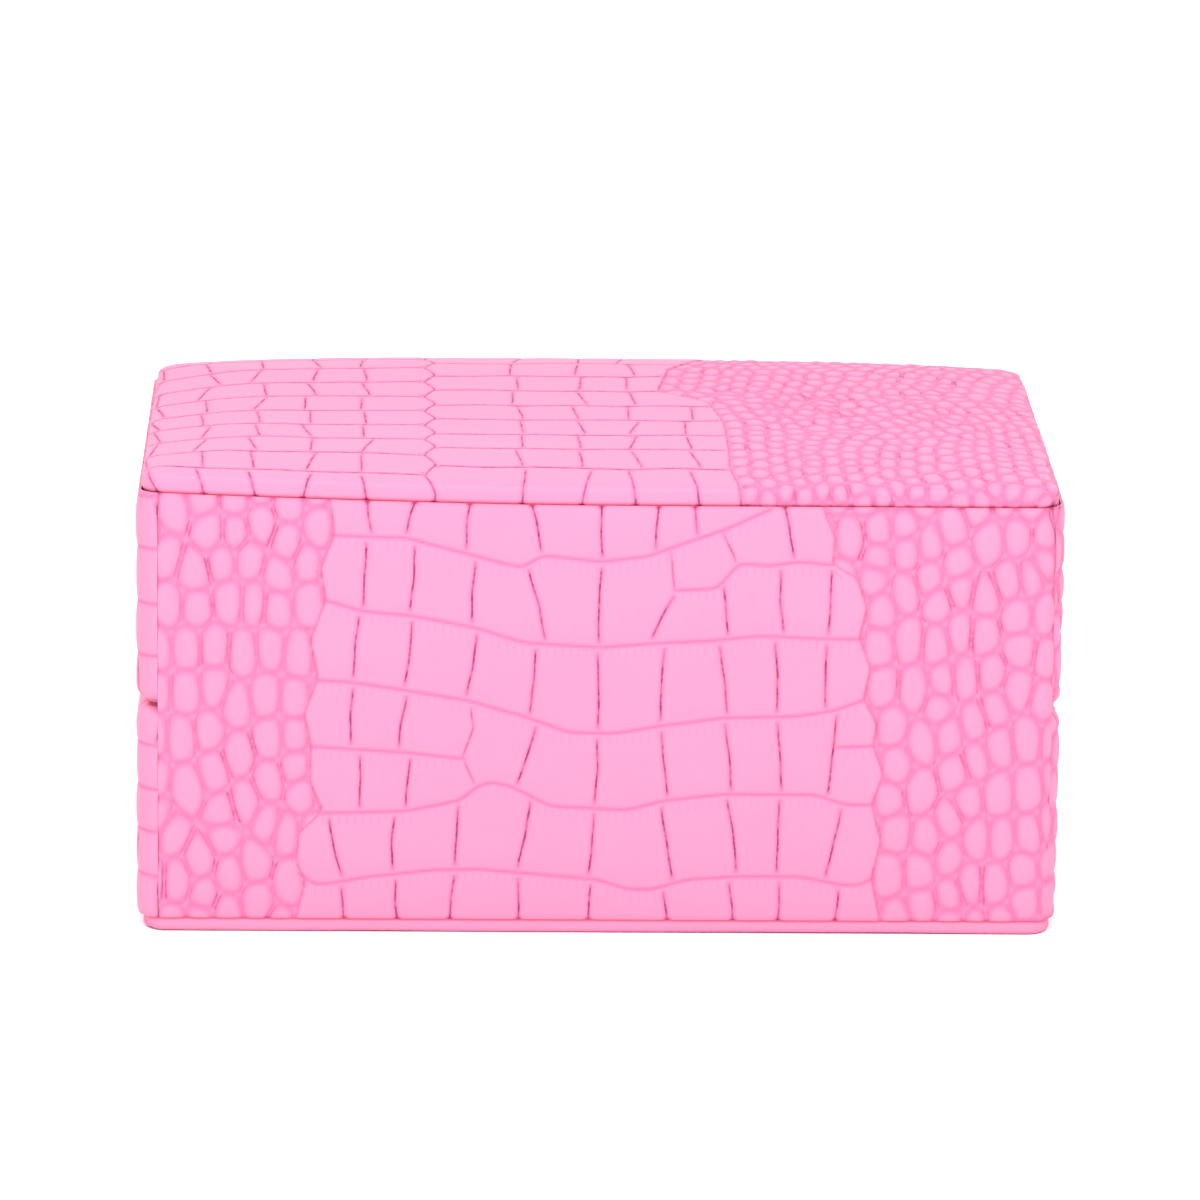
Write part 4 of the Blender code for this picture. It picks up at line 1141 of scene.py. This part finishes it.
# %% [markdown]
# ## Padded floor
# A sheet of foam under velvet lies in the base. The two dividers and the walls press it down, so it swells
# into three low cushions. The block is cut into small faces, and its top is then moulded by one rule.

# %% Padded floor
low, high = corners("base_floor_pad")
pad_top = high.z
divider_at = (corners("lower_divider_right")[0].x + corners("lower_divider_right")[1].x) / 2
floor_pad = add_block("floor_cushion", low, high)
pick(floor_pad, lambda middle, normal: abs(normal.z) > 0.5)
bpy.ops.mesh.subdivide(number_cuts=60)


def floor_swell(x, y, z):
    edge = np.minimum(high.x - np.abs(x), high.y - np.abs(y))
    press = np.minimum(edge, np.abs(np.abs(x) - divider_at) + 0.4)
    sink = 1.1 * np.exp(-press / 2.2) + 0.3 * np.exp(-press / 9)
    ripple = 0.08 * np.sin(x / 7.3) * np.sin(y / 6.1)
    return x, y, np.where(z > pad_top - 1, z - sink + ripple - 0.08, z)


close(floor_pad, 60)
mould(floor_pad, floor_swell)
hand_in(floor_pad, "base", "velvet", "base_floor_pad")

# %% [markdown]
# ## Padded panel in the lid
# Thin foam under velvet fills the lid's ceiling round the mirror, and swells a little between the bezel
# and the walls.

# %% Padded panel in the lid
low, high = corners("lid_inner_panel")
panel_low = low.z
bezel_high = corners("mirror_bezel")[1]
lid_panel = add_block("lid_panel_cushion", low, high)
pick(lid_panel, lambda middle, normal: abs(normal.z) > 0.5)
bpy.ops.mesh.subdivide(number_cuts=60)


def panel_swell(x, y, z):
    wall = np.minimum(high.x - np.abs(x), high.y - np.abs(y))
    bezel = np.maximum(np.abs(x) - bezel_high.x, np.abs(y) - bezel_high.y).clip(0)
    press = np.minimum(wall - 1.0, bezel).clip(0)
    return x, y, np.where(z < panel_low + 1, z + 1.0 * np.exp(-press / 2.0), z)


close(lid_panel, 60)
mould(lid_panel, panel_swell)
hand_in(lid_panel, "lid", "velvet", "lid_inner_panel")

# %% [markdown]
# ## Ring rolls
# Firm foam rolls wrapped in velvet lie side by side, and rings are pushed in between them. A cylinder is
# cut off at its middle, its cut edge is pulled down to the tray's floor, and its ends are rounded. It is
# made once, and the other six are copies with their own meshes.

# %% Ring rolls
low, high = corners("ring_roll_1")
roll_radius = (high.y - low.y) / 2
roll_axis = Vector(((low.x + high.x) / 2, (low.y + high.y) / 2, high.z - roll_radius))
roll_length = high.x - low.x
bpy.ops.object.select_all(action="DESELECT")
bpy.ops.mesh.primitive_cylinder_add(
    vertices=40, radius=roll_radius * MM, depth=roll_length * MM, location=roll_axis * MM,
    rotation=(0, math.pi / 2, 0),
)
roll = keep_place("ring_roll_velvet_1")
bpy.ops.object.mode_set(mode="EDIT")
bpy.ops.mesh.select_all(action="SELECT")
bpy.ops.mesh.bisect(plane_co=roll_axis * MM, plane_no=(0, 0, 1), clear_inner=True, use_fill=False)
pick(roll, lambda middle, way: abs(middle.z - roll_axis.z) < 0.01, "EDGE")
bpy.ops.mesh.extrude_edges_move(TRANSFORM_OT_translate={"value": (0, 0, (low.z - roll_axis.z) * MM)})
pick(roll, lambda middle, way: abs(middle.z - low.z) < 0.01, "EDGE")
bpy.ops.mesh.edge_face_add()
bpy.ops.mesh.select_all(action="SELECT")
bpy.ops.mesh.remove_doubles(threshold=1e-6)
for stop in np.linspace(low.x + 4, high.x - 4, 19):
    bpy.ops.mesh.select_all(action="SELECT")
    bpy.ops.mesh.bisect(plane_co=(stop * MM, 0, 0), plane_no=(1, 0, 0))
pick(roll, lambda middle, normal: abs(normal.x) > 0.9)
bpy.ops.mesh.inset(thickness=1.4 * MM)
bpy.ops.mesh.select_all(action="SELECT")
bpy.ops.mesh.normals_make_consistent(inside=False)


def roll_swell(x, y, z):
    """Rounded ends, a soft waist along the roll, and a slightly uneven top."""
    from_end = np.minimum(x - low.x, high.x - x)
    up = (z - low.z) / (high.z - low.z)
    middle_y, middle_z = roll_axis.y, low.z + 6
    rim = np.hypot((y - middle_y) / roll_radius, (z - middle_z) / 9)
    end = np.sign(x - roll_axis.x) * np.where(from_end < 0.1, 1.5 * rim.clip(0, 1) ** 3, 0)
    tight = 1 - 0.035 * np.exp(-from_end / 2.5) - 0.006 * np.sin(x / 5.1)
    return x - end, middle_y + (y - middle_y) * tight, np.where(up > 0.02, low.z + (z - low.z) * tight, z)


close(roll, 50)
mould(roll, roll_swell)
round_edges(roll, 0.9, 3, 35, 50)
rolls = [roll]
roll_step = corners("ring_roll_2")[0].y - low.y
for number in range(2, 8):
    twin = roll.copy()
    twin.data = roll.data.copy()
    twin.name = f"ring_roll_velvet_{number}"
    scene.collection.objects.link(twin)
    twin.data.transform(Matrix.Translation((0, roll_step * (number - 1) * MM, 0)))
    rolls.append(twin)
for number, piece in enumerate(rolls, 1):
    hand_in(piece, "tray", "velvet", f"ring_roll_{number}")

# %% [markdown]
# ## Ribbon tabs
# A satin ribbon folded over at the top is glued inside each end of the tray, to lift it by. One face is
# drawn up from the floor, spun half a turn for the fold, and drawn down again; Solidify gives the cloth
# its thickness.

# %% Ribbon tabs
RIBBON = 0.3  # mm thick
for side in ("left", "right"):
    low, high = corners(f"tray_tab_{side}")
    bend = (high.x - low.x - RIBBON) / 2
    middle = (low.x + high.x) / 2
    bend_z = high.z - bend - RIBBON / 2
    bpy.ops.object.select_all(action="DESELECT")
    bpy.ops.mesh.primitive_plane_add(
        size=1, location=Vector((middle - bend, 0, (low.z + bend_z) / 2)) * MM,
        rotation=(0, math.pi / 2, 0),
    )
    bpy.context.object.scale = Vector((bend_z - low.z, high.y - low.y, 1)) * MM
    ribbon = keep_place(f"ribbon_tab_{side}")
    pick(ribbon, lambda m, way: abs(m.z - bend_z) < 0.01, "EDGE")
    bpy.ops.mesh.spin(steps=8, angle=math.pi, center=Vector((middle, 0, bend_z)) * MM, axis=(0, 1, 0))
    far_edge = Vector((middle + bend, 0, bend_z))
    pick(ribbon, lambda m, way: (m - far_edge).length < 0.02 and abs(way.y) > 5, "EDGE")
    bpy.ops.mesh.extrude_edges_move(TRANSFORM_OT_translate={"value": (0, 0, (low.z - bend_z) * MM)})
    bpy.ops.mesh.select_all(action="SELECT")
    bpy.ops.mesh.remove_doubles(threshold=1e-6)
    close(ribbon, 60)
    apply_modifier(ribbon, "SOLIDIFY", thickness=RIBBON * MM, offset=0.0)
    close(ribbon, 60)
    hand_in(ribbon, "tray", "ribbon", f"tray_tab_{side}")

# %% [markdown]
# ## Push button and its trim ring
# The button is turned brass: a flange that holds it in the case, a straight barrel, and a domed head with
# one fine groove. A thin ring trims the hole in the lock case. Insets and short moves shape the head.

# %% Push button
low, high = corners("push_button")
button_axis = Vector(((low.x + high.x) / 2, 0, (low.z + high.z) / 2))
FLANGE, BARREL, DOME = 4.6, 3.8, 0.5  # radii, and the rise of the head
bpy.ops.object.select_all(action="DESELECT")
barrel_front, barrel_back = low.y + DOME, high.y - 0.6
bpy.ops.mesh.primitive_cylinder_add(
    vertices=56, radius=BARREL * MM, depth=(barrel_back - barrel_front) * MM,
    location=Vector((button_axis.x, (barrel_front + barrel_back) / 2, button_axis.z)) * MM,
    rotation=(math.pi / 2, 0, 0),
)
button = keep_place("turned_push_button")
pick(button, lambda middle, normal: normal.y < -0.9)
HEAD_STEPS = (0.25, 0.2), (0.35, 0.08), (0.05, -0.2), (0.2, 0.0), (0.05, 0.22), (0.7, 0.12), (0.8, 0.06)
for inset, move in HEAD_STEPS:
    bpy.ops.mesh.inset(thickness=inset * MM)
    bpy.ops.transform.translate(value=(0, -move * MM, 0))  # forwards is towards -Y
bpy.ops.mesh.inset(thickness=0.6 * MM)
pick(button, lambda middle, normal: normal.y > 0.9)
bpy.ops.mesh.extrude_region_move(TRANSFORM_OT_translate={"value": (0, 0, 0)})
grow = FLANGE / BARREL
flange_centre = Vector((button_axis.x, high.y, button_axis.z)) * MM
bpy.ops.transform.resize(value=(grow, 1, grow), center_override=flange_centre)
bpy.ops.mesh.extrude_region_move(TRANSFORM_OT_translate={"value": (0, 0.6 * MM, 0)})
bpy.ops.mesh.select_all(action="SELECT")
bpy.ops.mesh.normals_make_consistent(inside=False)
close(button, 30)
round_edges(button, 0.06, 2, 40, 30)
hand_in(button, "button", "gold_plated_steel", "push_button")

case_front = corners("lock_case")[0].y
bpy.ops.object.select_all(action="DESELECT")
bpy.ops.mesh.primitive_torus_add(
    major_radius=4.5 * MM, minor_radius=0.34 * MM, major_segments=64, minor_segments=12,
    location=Vector((button_axis.x, case_front, button_axis.z)) * MM, rotation=(math.pi / 2, 0, 0),
)
trim_ring = keep_place("button_trim_ring")
mould(trim_ring, lambda x, y, z: (x, np.minimum(y, case_front + 0.25), z))
close(trim_ring, 50)
hand_in(trim_ring, "base", "gold_plated_steel")

# %% [markdown]
# ## Button spring
# A conical coil of spring wire behind the button. Its shape is the frame's; a copy of it is merged.

# %% Button spring
cad_spring = frame["nodes"]["button_spring"]
spring = cad_spring.copy()
spring.data = cad_spring.data.copy()
spring.name = "conical_wire_spring"
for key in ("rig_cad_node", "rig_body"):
    del spring[key]
scene.collection.objects.link(spring)
select_only(spring)
bpy.ops.object.mode_set(mode="EDIT")
bpy.ops.mesh.select_all(action="SELECT")
bpy.ops.mesh.remove_doubles(threshold=1e-7)
close(spring, 50)
hand_in(spring, "base", "spring_steel", "button_spring")
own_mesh(spring)

# %% [markdown]
# ## Finish: velvet flock
# Short upright nylon pile glued on paper or foam. It is dull face-on and pale at its edges, which is what
# sheen does, and it shows broad patches where it was brushed another way.

# %% Velvet
velvet, tree, shader = new_finish(
    "blush_velvet_flock",
    {"Roughness": 0.95, "Specular IOR Level": 0.1, "Sheen Weight": 0.6, "Sheen Roughness": 0.4},
)
shader.inputs["Sheen Tint"].default_value = linear("#FFE6EE")
brushed, pile = noise(tree, 40, 4, Distortion=0.6), noise(tree, 1800)
colour = tint(tree, "#DDA4B8", spread(tree, brushed, 0.35, 0.65), "#E8B6C6")
colour = tint(tree, colour, spread(tree, pile, 0.3, 0.7, 0.0, 0.35), "#C98FA5")
dress(tree, shader, colour, pile, 0.5, 0.25)

# %% [markdown]
# ## Finishes: the metals, mirror and boards
# The lock is zinc with a thin layer of polished gold: warm, sharp reflections and the finest wiping marks.
# Mirror glass is silvered and almost perfectly smooth. Grey fibreboard, foam and ribbon stay mostly hidden.

# %% Metals and mirror
gold, tree, shader = new_finish("polished_gold_plate", {"Metallic": 1.0})
place = add_node(tree, "TexCoord")
wiped = add_node(tree, "Mapping", {"Scale": (900, 900, 60)}, {"Vector": place.outputs["Object"]})
marks = add_node(tree, "TexNoise", {"Scale": 1.0, "Detail": 3}, {"Vector": wiped.outputs[0]}).outputs[0]
colour = tint(tree, "#E2BC74", noise(tree, 150), "#EFCF93")
dress(tree, shader, colour, marks, 0.25, 0.01, spread(tree, marks, 0.0, 1.0, 0.12, 0.26))


def plain_metal(name, first, second, scale, detail, smoothest, roughest):
    """A metal whose two colours and roughness follow one noise."""
    finish, tree, shader = new_finish(name, {"Metallic": 1.0})
    cloud = noise(tree, scale, detail)
    tree.links.new(tint(tree, first, cloud, second), shader.inputs["Base Color"])
    tree.links.new(spread(tree, cloud, 0.0, 1.0, smoothest, roughest), shader.inputs["Roughness"])
    return finish


spring_wire = plain_metal("bright_spring_steel", "#B9BCC2", "#D5D7DB", 700, 3, 0.2, 0.38)
mirror = plain_metal("silvered_mirror_glass", "#F1F3F4", "#F6F7F8", 30, 4, 0.01, 0.03)


# %% Boards, foam and ribbon
def dull_finish(name, first, second, scale, roughness, depth):
    """A dull material whose two colours mix in grains of a size, with bump of a depth in millimetres."""
    finish, tree, shader = new_finish(name, {"Roughness": roughness})
    grains = noise(tree, scale, 4)
    dress(tree, shader, tint(tree, first, grains, second), grains, 1.0, depth)
    return finish


fibreboard = dull_finish("pressed_fibreboard", "#8E7F77", "#B3A196", 900, 0.85, 0.1)
foam = dull_finish("polyurethane_foam", "#E9E1CF", "#F6F0E2", 1400, 0.95, 0.3)

ribbon_finish, tree, shader = new_finish(
    "satin_ribbon", {"Roughness": 0.42, "Anisotropic": 0.5, "Sheen Weight": 0.3}
)
place = add_node(tree, "TexCoord")
ribs = add_node(
    tree, "TexWave", {"bands_direction": "Z", "Scale": 520, "Distortion": 0.4},
    {"Vector": place.outputs["Object"]},
).outputs[0]
dress(tree, shader, tint(tree, "#E58DB5", ribs, "#F0A3C6"), ribs, 0.4, 0.05)

# %% Every piece gets its finish
FINISHES = {
    "embossed_leather": pressed_leather, "velvet": velvet, "ribbon": ribbon_finish, "foam": foam,
    "gold_plated_steel": gold, "spring_steel": spring_wire, "mirror": mirror, "fibreboard": fibreboard,
}
for piece in frame["nodes"].values():
    for slot in piece.material_slots:
        if slot.material.name in FINISHES:
            slot.material = FINISHES[slot.material.name]
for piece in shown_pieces():
    if "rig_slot" in piece:
        piece.data.materials.clear()
        piece.data.materials.append(FINISHES[piece["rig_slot"]])
